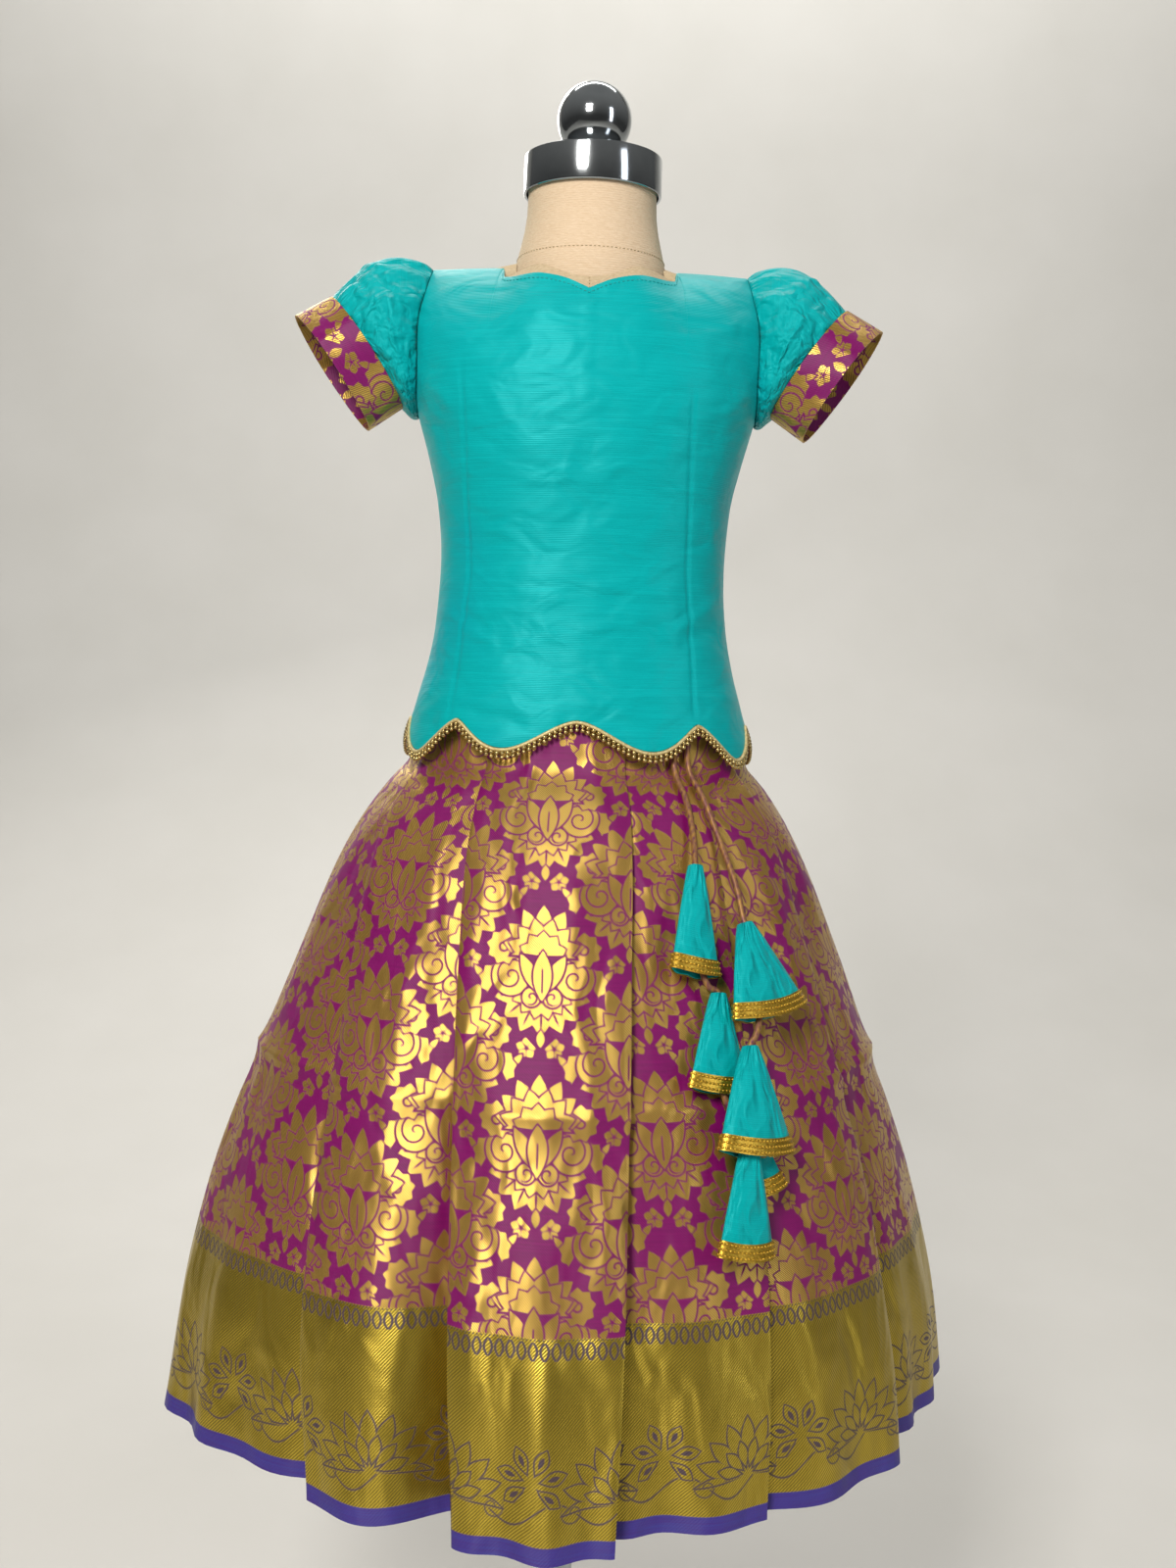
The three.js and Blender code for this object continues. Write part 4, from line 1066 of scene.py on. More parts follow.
# %% Bells
BRAID_TALL = 9.5
BRAID_LAP = 0.6  # below the mouth
BRAID_FACES = (0.9, 0.12)  # out from the bell's outer face
BELL_CLOTH_LENGTH = 0.06  # metres of cloth from top to mouth
BELL_PLEATS = {
    # angle round the bell in degrees, half width in degrees, height in mm, from where to the mouth
    "bell_1": [(250, 16, 0.9, 0.1), (285, 12, -1.0, 0.3), (310, 14, 0.8, 0.0), (225, 14, -0.7, 0.4)],
    "bell_2": [(246, 12, 1.4, 0.0), (268, 11, -1.5, 0.1), (292, 13, 1.6, 0.2), (318, 12, -1.0, 0.0)],
    "bell_3": [(238, 14, 1.0, 0.2), (262, 12, -1.1, 0.0), (300, 15, 0.9, 0.1), (330, 12, -0.6, 0.3)],
    "bell_4": [(232, 12, 1.2, 0.1), (258, 11, -1.6, 0.0), (281, 12, 1.5, 0.0), (312, 13, -1.2, 0.2)],
    "bell_5": [(242, 15, 0.7, 0.0), (276, 13, -0.8, 0.2), (305, 14, 0.7, 0.1)],
    "bell_6": [(240, 13, 1.0, 0.0), (264, 11, -1.2, 0.1), (290, 12, 1.1, 0.0), (322, 14, -0.8, 0.3)],
}


def bell_surface(name, u, angle, grow):
    """Points of a bell's wall, grow millimetres out from its outer face."""
    wide, thick = BELLS[name]["wide"], BELLS[name]["thick"]
    top, mouth = bell_ends(name)
    down = unit_rows(mouth - top)
    out = unit_rows(np.array([mouth[0], mouth[1], 0]))
    across = unit_rows(np.cross(down, out))
    front = unit_rows(np.cross(across, down))
    fold = np.zeros(np.broadcast(u, angle).shape)
    for middle, spread, height, start in BELL_PLEATS[name]:
        away = (np.degrees(angle) - middle + 180) % 360 - 180
        share = np.clip((u - start) / (1 - start), 0, 1)
        fold += height * np.exp(-((away / spread) ** 2)) * share**0.7
        fold += 0.8 * height * np.exp(-(((away + 180) % 360 - 180) / spread) ** 2) * share**0.7
    gathers = 0.5 * np.sin(9 * angle + 2 * np.sin(3 * angle)) * np.exp(-(((u - 0.16) / 0.14) ** 2))
    sag = u * (wide / 30) * 4 * np.cos(angle) ** 2
    a = lerp(BELL_TOP_RADIUS, wide, u**0.85) + grow
    b = lerp(BELL_TOP_RADIUS, thick, u) + grow + fold + gathers
    middle = top + (mouth - top) * u[..., None]
    return (
        middle
        + across * (a * np.cos(angle))[..., None]
        + front * (b * np.sin(angle))[..., None]
        - down * sag[..., None]
    )


def bell_wall(bell, part, rows, out, into, finish):
    """A wall round one bell, between two distances from its outer face, and its outer grid."""
    u, angle = round_grid(rows, BELL_SIDES)
    outer, inner = (bell_surface(bell, u, angle, grow) for grow in (out, into))
    uv = round_uv(rows, BELL_SIDES, 4 * BELLS[bell]["wide"] * MM, BELL_CLOTH_LENGTH)
    piece = cloth_wall(f"{bell}_{part}", outer, inner, uv, loop=True)
    piece.data.materials.append(finish)
    return piece, outer


bell_pieces = {}
braid_rims = {}
for name in BELLS:
    shell, _ = bell_wall(name, "cloth", np.linspace(0, 1, 30), 0.0, -BELL_WALL, bell_silk)
    tall = float(np.linalg.norm(np.subtract(*bell_ends(name))))
    rows = np.linspace(1 - BRAID_TALL / tall, 1 + BRAID_LAP / tall, 7)
    strip, braid_rims[name] = bell_wall(name, "braid", rows, *BRAID_FACES, braid_gold)
    bell_pieces[name] = (shell, strip)
print("bells:", list(bell_pieces))

# %% [markdown]
# ## The skirt's cloth
#
# The finer rings follow the same rule as the form, at more heights, and their corners are rounded
# by cutting them twice, which is how stiff brocade turns at a fold. The cloth was stored folded, so
# a sharp crease runs round it at one height. From about the lowest bell down it swells in soft
# flutes that deepen to the hem. The crease, the smaller ones and the flutes move every layer at the
# same angle together.

# %% Skirt cloth
STORAGE_CREASE_Z = 578.0
FLUTES_START = 515.0
FLUTE_DEPTH = 3.2
FLUTES = 27  # round the whole skirt
ROUNDINGS = 2  # how often the corners of a ring are cut
WIDTH_ROW = 20  # the ring at which the width of a half is read
# angle and height of both ends, half width in mm, height in mm
SKIRT_CREASES = [
    (-2, 700, 9, 470, 2.2, 1.3),
    (6, 640, 12, 420, 2.6, -1.1),
    (-24, 760, -20, 600, 3.2, 1.4),
    (-19, 620, -14, 430, 3.0, -1.2),
    (-41, 740, -33, 560, 3.6, 1.5),
    (-52, 690, -44, 470, 4.2, -1.6),
    (21, 770, 17, 560, 2.6, 1.3),
    (25, 762, 22, 640, 2.2, -1.2),
    (33, 768, 30, 650, 2.4, 1.4),
    (48, 760, 44, 590, 3.2, -1.5),
    (57, 730, 52, 480, 4.0, 1.6),
    (73, 740, 70, 520, 4.0, -1.4),
    (-78, 735, -70, 500, 4.2, 1.6),
    (-101, 740, -98, 480, 4.6, -1.5),
    (104, 730, 101, 470, 4.4, 1.5),
    (128, 750, 126, 520, 3.8, -1.4),
    (-131, 745, -129, 500, 4.0, 1.6),
    (152, 740, 151, 460, 4.2, 1.4),
    (-155, 750, -153, 540, 3.6, -1.3),
    (176, 730, 178, 480, 4.0, 1.5),
]


def rounded(ring, length):
    """Cuts the corners of a closed ring of (x, y, length along the cloth)."""
    other = np.roll(ring, -1, axis=0)
    other[-1, 2] += length
    return np.stack([lerp(ring, other, 0.25), lerp(ring, other, 0.75)], 1).reshape(-1, 3)


def skirt_swell(x, y, z):
    """How far the cloth moves out from the axis, by where it is round the skirt."""
    turn = np.degrees(np.arctan2(x, -y))
    # the storage crease: a sharp ridge with a shallow trough under it
    storage = 3.4 * np.exp(-np.abs(z - STORAGE_CREASE_Z) / 7)
    storage -= 1.1 * np.exp(-(((z - STORAGE_CREASE_Z + 17) / 11) ** 2))
    share = 0.8 + 0.2 * np.sin(np.radians(turn) * 5 + 1)
    radius = np.hypot(x, y)
    fine = np.zeros_like(x)
    for t0, z0, t1, z1, width, height in SKIRT_CREASES:
        middle = lerp(t0, t1, np.clip((z - z0) / (z1 - z0), 0, 1))
        aside = np.radians((turn - middle + 180) % 360 - 180) * radius
        end = np.clip((z0 - z) / 30, 0, 1) * np.clip((z - z1) / 50, 0, 1)
        fine += height * np.exp(-((aside / (2.2 * width)) ** 2)) * end
    # slow unevenness, as in cloth that hangs by its own weight
    slow = 1.3 * np.sin(np.radians(turn) * 9 + z / 41) * np.sin(z / 58 + np.radians(turn) * 4)
    fade = np.clip((FOLDS_START - z) / 40, 0, 1)
    # soft flutes that deepen from under the bells to the hem, no two of one width
    wave = np.sin(np.radians(turn) * FLUTES + 1.7 * np.sin(np.radians(turn) * 5) + z / 160)
    flutes = FLUTE_DEPTH * wave * np.clip((FLUTES_START - z) / (FLUTES_START - SKIRT_HEM), 0, 1)
    return (storage * share + fine + slow) * fade + flutes


def skirt_rows():
    """Even heights, with closer ones at the storage crease."""
    even = np.arange(SKIRT_HEM, SKIRT_TOP, 6.6)
    close = STORAGE_CREASE_Z + np.array([-14, -10, -7, -4.5, -2.2, 0, 2.2, 4.5, 7, 10, 14])
    keep = even[np.min(np.abs(even[:, None] - close[None]), axis=1) > 1.5]
    return np.unique(np.concatenate([keep, close, [SKIRT_TOP]]))


def mean_radius(z):
    return (read_table(SKIRT, "side", z) + read_table(SKIRT, "deep", z)) / 2


def skirt_grids():
    """The middle surface, its plan normals and its place in the cloth, ring by ring."""
    middle, normal, length, climb = [], [], [], [0.0]
    rows = skirt_rows()
    for i, z in enumerate(rows):
        plan, marks = settled_plan(float(z))
        steps = ring_steps(plan)
        along = np.concatenate([[0], np.cumsum(steps)[:-1]])
        ring = np.column_stack([plan, along - along[marks["middle"]]])
        for _ in range(ROUNDINGS):
            ring = rounded(ring, steps.sum())
        swell = skirt_swell(ring[:, 0], ring[:, 1], np.full(len(ring), z))
        ring[:, :2] += unit_rows(ring[:, :2]) * swell[:, None]
        middle.append(np.column_stack([ring[:, :2], np.full(len(ring), z)]))
        normal.append(np.column_stack([plan_normals(ring[:, :2]), np.zeros(len(ring))]))
        length.append(ring[:, 2])
        if i:
            below = rows[i - 1]
            step = np.hypot(z - below, mean_radius(z) - mean_radius(below))
            climb.append(climb[-1] + float(step))
    grids = [np.array(part) for part in (middle, normal, length, climb)]
    return grids, {name: 2**ROUNDINGS * mark for name, mark in marks.items()}


def skirt_half(name, start, end, grids):
    middle, normal, length, climb = grids
    count = middle.shape[1]
    index = (start + np.arange((end - start) % count + 1)) % count
    wraps = np.concatenate([[0], np.cumsum(np.diff(index) < 0)]) * CLOTH_WIDTH
    mid = middle[:, index]
    for edge, inside in ((0, 1), (-1, -2)):
        mid[:, edge] += unit_rows(mid[:, inside] - mid[:, edge]) * GAP / 2
    out = normal[:, index] * SKIRT_WALL / 2
    along = (length[:, index] + wraps) / CLOTH_WIDTH + 0.5
    uv = np.stack([along, np.broadcast_to(climb[:, None] / CLOTH_WIDTH, along.shape)], -1)
    piece = cloth_wall(name, mid + out, mid - out, uv)
    piece.data.materials.append(skirt_brocade)
    print(name, "is", round(float(np.ptp(along[WIDTH_ROW])) * CLOTH_WIDTH), "mm wide")
    return piece


grids, marks = skirt_grids()
skirt_front = skirt_half("skirt_front_cloth", marks["left"], marks["right"], grids)
skirt_back = skirt_half("skirt_back_cloth", marks["right"], marks["left"], grids)
print("the cloth is", round(grids[3][-1]), "mm long")

# %% [markdown]
# ## The blouse
#
# The blouse is cut in one front and two backs, shaped by two long darts. It fits so closely that
# its form is that of the body in a slightly squared section, and above the underarm the sections
# lean together over the shoulder. The darts and the wrinkles at the waist are soft ridges and
# troughs along short lines, each with its own width and height.

# %% Body and shoulder
BLOUSE_WALL = 1.5
UNDERARM_Z = 1003.0
SHOULDER_Z = 1102.0
NECK_SIDE = 59.5
BODY = {
    "z": [700, 778, 809, 836, 863, 905, 944, 970, 1003],
    "side": [112, 119.5, 112, 104.5, 99.5, 96.8, 99.5, 105, 114],
    "front": [84, 89, 84.5, 80, 77, 75, 78.5, 82, 84],
    "back": [88, 96, 91, 84, 77, 71, 73, 76, 78],
}
HIPS = {
    "z": [700, 740, 800, 848, 876],
    "side": [84, 94, 94, 81, 90],
    "front": [66, 70, 67, 58.5, 68],
    "back": [72, 74, 69, 58.5, 66],
}
ARMHOLE = {
    "z": [1003, 1022, 1062, 1085, 1103],
    "side": [114, 117, 119, 113, 106],
    "cut": [1, 0.965, 0.95, 0.965, 0.995],
}
NECKLINE = {"x": [0, 15, 32, 55.5, 58.4], "z": [1078, 1085, 1088.5, 1089, 1097]}
ROUNDNESS = 2 / 2.35


def soften(value):
    return np.sign(value) * np.abs(value) ** ROUNDNESS


def ridge(x):
    """The height of the shoulder line, with the rise to the neck."""
    u = np.clip((np.abs(x) - 28) / 30, 0, 1)
    return SHOULDER_Z + 20 * (1 - u * u * (3 - 2 * u)) - 0.02 * np.maximum(np.abs(x) - 60, 0)


def trunk(t, z, off, table=BODY):
    depth = np.where(np.cos(t) >= 0, read_table(table, "front", z), read_table(table, "back", z))
    x = (read_table(table, "side", z) + off) * soften(np.sin(t))
    return np.stack(np.broadcast_arrays(x, -(depth + off) * soften(np.cos(t)), z), -1)


def shoulder(t, lift, off):
    base = trunk(t, np.full(np.shape(t), UNDERARM_Z), off)
    share = soften(np.sin(t))
    roof = ridge(share * float(read_table(ARMHOLE, "side", SHOULDER_Z))) + off
    z = UNDERARM_Z + (roof - UNDERARM_Z) * np.sin(lift)
    x = share * (read_table(ARMHOLE, "side", z) + off)
    return np.stack(np.broadcast_arrays(x, base[..., 1] * np.cos(lift), z), -1)


def lift_at(t, z):
    roof = ridge(soften(np.sin(t)) * float(read_table(ARMHOLE, "side", SHOULDER_Z)))
    return np.arcsin(np.clip((z - UNDERARM_Z) / (roof - UNDERARM_Z), 0, 1))


def hem_height(t):
    """The scalloped hem's height at angle t from the front."""
    low = lerp(777, 785, np.cos(t) ** 2)
    return lerp(803 - 3 * np.sin(t) ** 2, low, np.abs(np.sin(4.5 * t)) ** 1.4)


def armhole_angle(degrees, z):
    edge = np.degrees(np.arcsin(read_table(ARMHOLE, "cut", z) ** (1 / ROUNDNESS)))
    return np.radians(np.where(degrees > 50, 50 + (degrees - 50) / 40 * (edge - 50), degrees))


def front_top(x):
    return read_table(NECKLINE, "z", x, "x")


def back_top(x):
    return lerp(1078, 1097, np.minimum(x / 58.4, 1) ** 3.5)


chest = trunk(np.linspace(0, 2 * np.pi, 361), np.full(361, UNDERARM_Z), 0)
print("chest:", round(route_length(chest)), "mm round")


# %% Blouse panels
# across and height of both ends, half width, height: darts first, then the wrinkles
FRONT_CREASES = [
    (-81, 1034, -73, 886, 1.1, -1.0),
    (-73, 900, -85, 792, 1.1, -1.0),
    (68, 1020, 69, 890, 1.1, -1.0),
    (69, 904, 77, 794, 1.1, -1.0),
    (0, 1080, 1, 990, 1.4, 0.5),
    (-60, 1032, -3, 1041, 2.4, 0.6),
    (-38, 1060, 16, 1069, 2.2, 0.5),
    (18, 1050, 60, 1036, 2.8, -0.5),
    (4, 889, 64, 884, 2.6, 1.1),
    (12, 882, 60, 876, 3.2, -0.9),
    (-46, 885, -10, 881, 2.4, 0.9),
    (-82, 863, -52, 848, 3.0, 1.2),
    (-84, 872, -58, 860, 3.4, -0.9),
    (60, 861, 90, 882, 3.0, 1.2),
    (64, 852, 92, 868, 3.6, -1.0),
    (22, 844, 54, 838, 2.6, 0.8),
    (-30, 858, 20, 862, 4.0, 0.7),
    (-95, 816, -16, 805, 2.8, 1.0),
    (-70, 805, -30, 799, 3.4, -0.8),
    (-2, 816, 66, 803, 2.6, 1.1),
    (8, 806, 50, 798, 3.2, -0.8),
    (74, 812, 104, 800, 3.0, 0.9),
    (-108, 800, -88, 812, 3.0, 0.9),
    (88, 1000, 108, 1020, 4.0, 1.2),
    (-108, 1022, -86, 1002, 4.0, 1.2),
    (80, 985, 104, 996, 4.0, -0.9),
    (-104, 996, -82, 984, 4.0, -0.9),
]
BACK_CREASES = [
    (64, 1020, 62, 890, 1.1, -1.0),
    (62, 900, 72, 798, 1.1, -1.0),
    (10, 888, 70, 881, 3.0, 1.2),
    (14, 879, 64, 871, 3.4, -1.0),
    (30, 866, 84, 876, 2.8, 1.0),
    (22, 845, 78, 838, 3.2, 0.9),
    (12, 815, 60, 806, 2.8, 0.9),
    (66, 806, 104, 800, 3.0, 0.9),
    (24, 1042, 74, 1052, 3.0, 0.7),
    (84, 990, 108, 1010, 4.0, 1.1),
]


def panel(degrees, facing, off, rows=(66, 36)):
    """A grid of points from the hem to the neckline or the shoulder, off mm out."""
    side = np.where(degrees < 0, -1.0, 1.0)
    size = np.abs(degrees)
    gap = np.where(size == 90, GAP / 200, 0)
    plain = np.radians(size) - gap

    def turn(t):
        return side * t if facing > 0 else side * (np.pi - t)

    low = hem_height(turn(plain))
    z = lerp(low, UNDERARM_Z, np.linspace(0, 1, rows[0] + 1)[:, None])
    lower = trunk(np.broadcast_to(turn(plain), z.shape), z, off)
    x = np.abs(shoulder(plain, lift_at(plain, 1090.0), 0)[..., 0])
    top = front_top(x) if facing > 0 else back_top(x)
    highest = np.where(x < NECK_SIDE, lift_at(plain, top), np.pi / 2 - 0.004)
    lift = highest * np.linspace(0, 1, rows[1] + 1)[1:, None]
    height = shoulder(np.broadcast_to(plain, lift.shape), lift, 0)[..., 2]
    upper = shoulder(turn(armhole_angle(size, height) - gap), lift, off)
    return np.concatenate([lower, upper])


def blouse_piece(name, degrees, facing, creases, mirror=1):
    outer = panel(degrees, facing, 0.0)
    inner = panel(degrees, facing, -BLOUSE_WALL)
    if facing < 0:
        for grid in (outer, inner):
            grid[:, degrees == 0, 0] = mirror * GAP / 2
    out = outward_normals(outer)
    x, z = outer[..., 0], outer[..., 2]
    swell = creased(mirror * x, z, creases)
    swell += 0.35 * np.sin(z / 13 + x / 31) * np.sin(x / 17)
    row = np.arange(len(outer))
    from_edge = np.minimum(row, row[::-1])
    swell *= np.minimum(1, from_edge / 3)[:, None]
    shift = out * swell[..., None]
    piece = cloth_wall(name, outer + shift, inner + shift, np.stack([x, z], -1) * MM)
    piece.data.materials.append(blouse_silk)
    return piece, outer + shift, out


# even angles, with closer ones at the neckline's corner
right = np.unique([*np.linspace(0, 90, 83), 26.3, 27.2, 28, 28.5, 29.1, 29.8])
left = np.where(right == 0, -1e-9, -right)  # so that 0 too is on the left
blouse_front, front_face, front_out = blouse_piece(
    "blouse_front_cloth", np.concatenate([-right[:0:-1], right]), 1, FRONT_CREASES
)
blouse_back_left = blouse_piece("blouse_back_left_cloth", left, -1, BACK_CREASES, -1)[0]
blouse_back_right = blouse_piece("blouse_back_right_cloth", right, -1, BACK_CREASES)[0]
print("blouse front grid:", front_face.shape)

# %% [markdown]
# ## Puff sleeves and cuffs
#
# A puff sleeve is a strip cut wider than the armhole and gathered into it, so that it swells over
# the shoulder. The wall runs from the armhole's own edge to the ring where the cuff is sewn on.
# The gathers are ridges that start at a seam and die out in the puff, each with its own length.
# The cuffs are bands of the skirt's brocade.

# %% Sleeves
CUFF_TILT = np.radians(35)
CUFF_FORWARD = np.radians(11)
CUFF_TOP = np.array([149.5, -9.0, 1043.0])
CUFF_LONG, CUFF_DEEP, CUFF_LENGTH = 42.5, 27.0, 27.0
CUFF_FACES = (1.2, -0.4)  # out from the sleeve's ring, at the seam
CUFF_CUT_FROM = 212.0  # how far up the skirt's cloth the cuffs are cut
CUFF_SIDES, SLEEVE_SIDES = 120, 240
PUFF = 15.0
cuff_axis = unit_rows(np.array([np.cos(CUFF_TILT), -np.sin(CUFF_FORWARD), -np.sin(CUFF_TILT)]))
cuff_up = np.array([np.sin(CUFF_TILT), 0, np.cos(CUFF_TILT)])
cuff_side = unit_rows(np.cross(cuff_axis, cuff_up))
# angle in degrees (0 over the shoulder, 90 behind, 270 in front), half width, height, from u, to u
SLEEVE_GATHERS = [
    (4, 4.5, 1.9, 0.0, 0.45),
    (15, 4.0, -1.8, 0.0, 0.5),
    (26, 5.0, 2.0, 0.0, 0.38),
    (39, 4.5, -1.5, 0.0, 0.42),
    (55, 5.5, 1.6, 0.0, 0.5),
    (72, 6.0, -1.3, 0.0, 0.4),
    (96, 6.5, 1.2, 0.0, 0.5),
    (128, 8.0, -1.0, 0.0, 0.6),
    (168, 9.0, 1.0, 0.0, 0.7),
    (212, 8.0, -1.0, 0.0, 0.6),
    (240, 6.5, 1.4, 0.0, 0.62),
    (258, 5.5, -1.6, 0.0, 0.5),
    (273, 5.0, 1.9, 0.0, 0.55),
    (288, 4.5, -1.9, 0.0, 0.48),
    (301, 4.5, 2.1, 0.0, 0.6),
    (314, 4.0, -2.0, 0.0, 0.5),
    (326, 4.5, 2.2, 0.0, 0.42),
    (338, 4.0, -1.9, 0.0, 0.55),
    (349, 4.5, 2.0, 0.0, 0.5),
    (8, 6.0, 1.5, 0.55, 1.0),
    (22, 5.5, -1.4, 0.6, 1.0),
    (47, 6.5, 1.4, 0.5, 1.0),
    (84, 7.5, -1.2, 0.55, 1.0),
    (150, 9.0, 1.0, 0.5, 1.0),
    (226, 8.0, 1.3, 0.5, 1.0),
    (252, 6.0, -1.5, 0.45, 1.0),
    (267, 5.5, 1.7, 0.55, 1.0),
    (283, 5.0, -1.7, 0.5, 1.0),
    (298, 5.0, 1.8, 0.6, 1.0),
    (311, 5.5, -1.5, 0.5, 1.0),
    (329, 5.0, 1.6, 0.6, 1.0),
    (344, 5.5, -1.5, 0.5, 1.0),
]
# wrinkles that run slanting across the puff: angle and u of both ends, half width, height
SLEEVE_WRINKLES = [
    (262, 0.35, 300, 0.62, 5.0, 1.6),
    (284, 0.25, 318, 0.5, 4.5, -1.5),
    (318, 0.4, 350, 0.66, 5.0, 1.6),
    (300, 0.62, 338, 0.8, 4.5, -1.4),
    (20, 0.35, 62, 0.6, 5.5, 1.5),
    (66, 0.3, 108, 0.62, 6.0, -1.3),
]


def cuff_point(angle, along, grow):
    long = ((CUFF_LONG + grow) * np.cos(angle))[..., None]
    deep = ((CUFF_DEEP + grow) * np.sin(angle))[..., None]
    return CUFF_TOP + cuff_axis * along + cuff_up * long + cuff_side * deep


def armhole_point(angle, grow):
    z = (UNDERARM_Z + SHOULDER_Z) / 2 + (49.5 - 0.4) * np.cos(angle)
    t = armhole_angle(np.full(np.shape(z), 90.0), z)
    edge = shoulder(np.where(np.sin(angle) > 0, np.pi - t, t), lift_at(t, z), 0)
    shift = [np.full(np.shape(z), 2 * GAP), grow * np.sin(angle), grow * np.cos(angle)]
    return edge + np.stack(shift, -1)


def sleeve_surface(u, angle, side, grow):
    over = 0.5 + 0.5 * np.cos(angle)
    start = armhole_point(angle, grow)
    end = cuff_point(-angle, -GAP - 0.1, grow)
    degrees = np.degrees(angle)
    fold = np.zeros(u.shape)
    for middle, spread, height, u0, u1 in SLEEVE_GATHERS:
        away = (degrees - middle - 4 * side + 180) % 360 - 180
        fade = np.clip((u1 - u if u0 == 0 else u - u0) / (u1 - u0), 0, 1)
        fold += height * np.exp(-((away / spread) ** 2)) * fade**0.8
    wrinkles = [(a0, u0 * 100, a1, u1 * 100, *size) for a0, u0, a1, u1, *size in SLEEVE_WRINKLES]
    fold += creased((degrees + 5 * side) % 360, u * 100, wrinkles)
    seam = np.clip(np.minimum(u, 1 - u) / 0.05, 0, 1)
    swell = PUFF * np.sin(np.pi * u**0.85) * (0.25 + 0.75 * over)
    swell += fold * (0.25 + 0.75 * seam) * np.clip(u / 0.02, 0, 1)
    away = unit_rows(np.stack([0.35 * over, np.sin(angle), np.cos(angle)], -1))
    points = lerp(start, end, u[..., None]) + away * swell[..., None]
    points[..., 0] *= side
    return points


def make_sleeve(name, side):
    rows = np.linspace(0, 1, 46)
    u, angle = round_grid(rows, SLEEVE_SIDES)
    outer = sleeve_surface(u, angle, side, 0.0)
    inner = sleeve_surface(u, angle, side, -BLOUSE_WALL)
    piece = cloth_wall(name, outer, inner, round_uv(rows, SLEEVE_SIDES, 0.3, 0.09), loop=True)
    piece.data.materials.append(sleeve_silk)
    return piece


def make_cuff(name, side):
    rows = np.linspace(0, 1, 12)
    u, angle = round_grid(rows, CUFF_SIDES)
    girth = 2 * np.pi * np.sqrt((CUFF_LONG**2 + CUFF_DEEP**2) / 2)
    uv = round_uv(rows, CUFF_SIDES, girth, CUFF_LENGTH) + [0, CUFF_CUT_FROM]
    wave = 0.5 * np.sin(5 * angle + 1.3) * u
    faces = []
    for seam_grow in CUFF_FACES:
        points = cuff_point(angle, 0.0, seam_grow + u + wave)
        points += cuff_axis * (CUFF_LENGTH * u)[..., None]
        points[..., 0] *= side
        faces.append(points)
    piece = cloth_wall(name, *faces, uv / CLOTH_WIDTH, loop=True)
    piece.data.materials.append(skirt_brocade)
    return piece


SIDES = {"left": -1, "right": 1}
sleeves = {name: make_sleeve(f"sleeve_{name}_cloth", side) for name, side in SIDES.items()}
cuffs = {name: make_cuff(f"cuff_{name}_cloth", side) for name, side in SIDES.items()}
print("sleeves and cuffs:", len(sleeves) + len(cuffs))

# %% [markdown]
# ## Beads, braid and stitches with Geometry Nodes
#
# The hem's trim is a cord of piping with two rows of small beads under it, and the neckline and the
# form's middle seam show their stitches. All of them repeat one small shape along a line, which is
# what Geometry Nodes do well: one tree makes a curve of the line, resamples it at the pitch, and
# puts one shape at each point, turned to the line.

# %% A tree that repeats one shape along a line
def repeat_along_tree(name):
    group = bpy.data.node_groups.new(name, "GeometryNodeTree")
    for label, kind in (
        ("Geometry", "NodeSocketGeometry"),
        ("Pitch", "NodeSocketFloat"),
        ("Size", "NodeSocketVector"),
        ("Finish", "NodeSocketMaterial"),
    ):
        group.interface.new_socket(label, in_out="INPUT", socket_type=kind)
    group.interface.new_socket("Geometry", in_out="OUTPUT", socket_type="NodeSocketGeometry")
    start = add_node(group, "NodeGroupInput")
    curve = add_node(group, "GeometryNodeMeshToCurve", {}, {0: start.outputs["Geometry"]})
    spaced = add_node(
        group,
        "GeometryNodeResampleCurve",
        {"mode": "LENGTH"},
        {"Curve": curve.outputs[0], "Length": start.outputs["Pitch"]},
    )
    ball = add_node(group, "GeometryNodeMeshIcoSphere", {}, {"Radius": 1.0, "Subdivisions": 2})
    way = add_node(group, "GeometryNodeInputTangent")
    turn = add_node(group, "FunctionNodeAlignRotationToVector", {"axis": "X"}, {"Vector": way.outputs[0]})
    placed = add_node(
        group,
        "GeometryNodeInstanceOnPoints",
        {},
        {
            "Points": spaced.outputs[0],
            "Instance": ball.outputs["Mesh"],
            "Rotation": turn.outputs[0],
            "Scale": start.outputs["Size"],
        },
    )
    real = add_node(group, "GeometryNodeRealizeInstances", {}, {0: placed.outputs[0]})
    smooth = add_node(group, "GeometryNodeSetShadeSmooth", {}, {0: real.outputs[0]})
    finish = add_node(
        group,
        "GeometryNodeSetMaterial",
        {},
        {"Geometry": smooth.outputs[0], "Material": start.outputs["Finish"]},
    )
    add_node(group, "NodeGroupOutput", {}, {0: finish.outputs[0]})
    return group


repeat_along = repeat_along_tree("repeat_along_a_line")


def applied(piece):
    """A mesh of what a piece looks like with its modifiers."""
    graph = bpy.context.evaluated_depsgraph_get()
    return bpy.data.meshes.new_from_object(piece.evaluated_get(graph), depsgraph=graph)


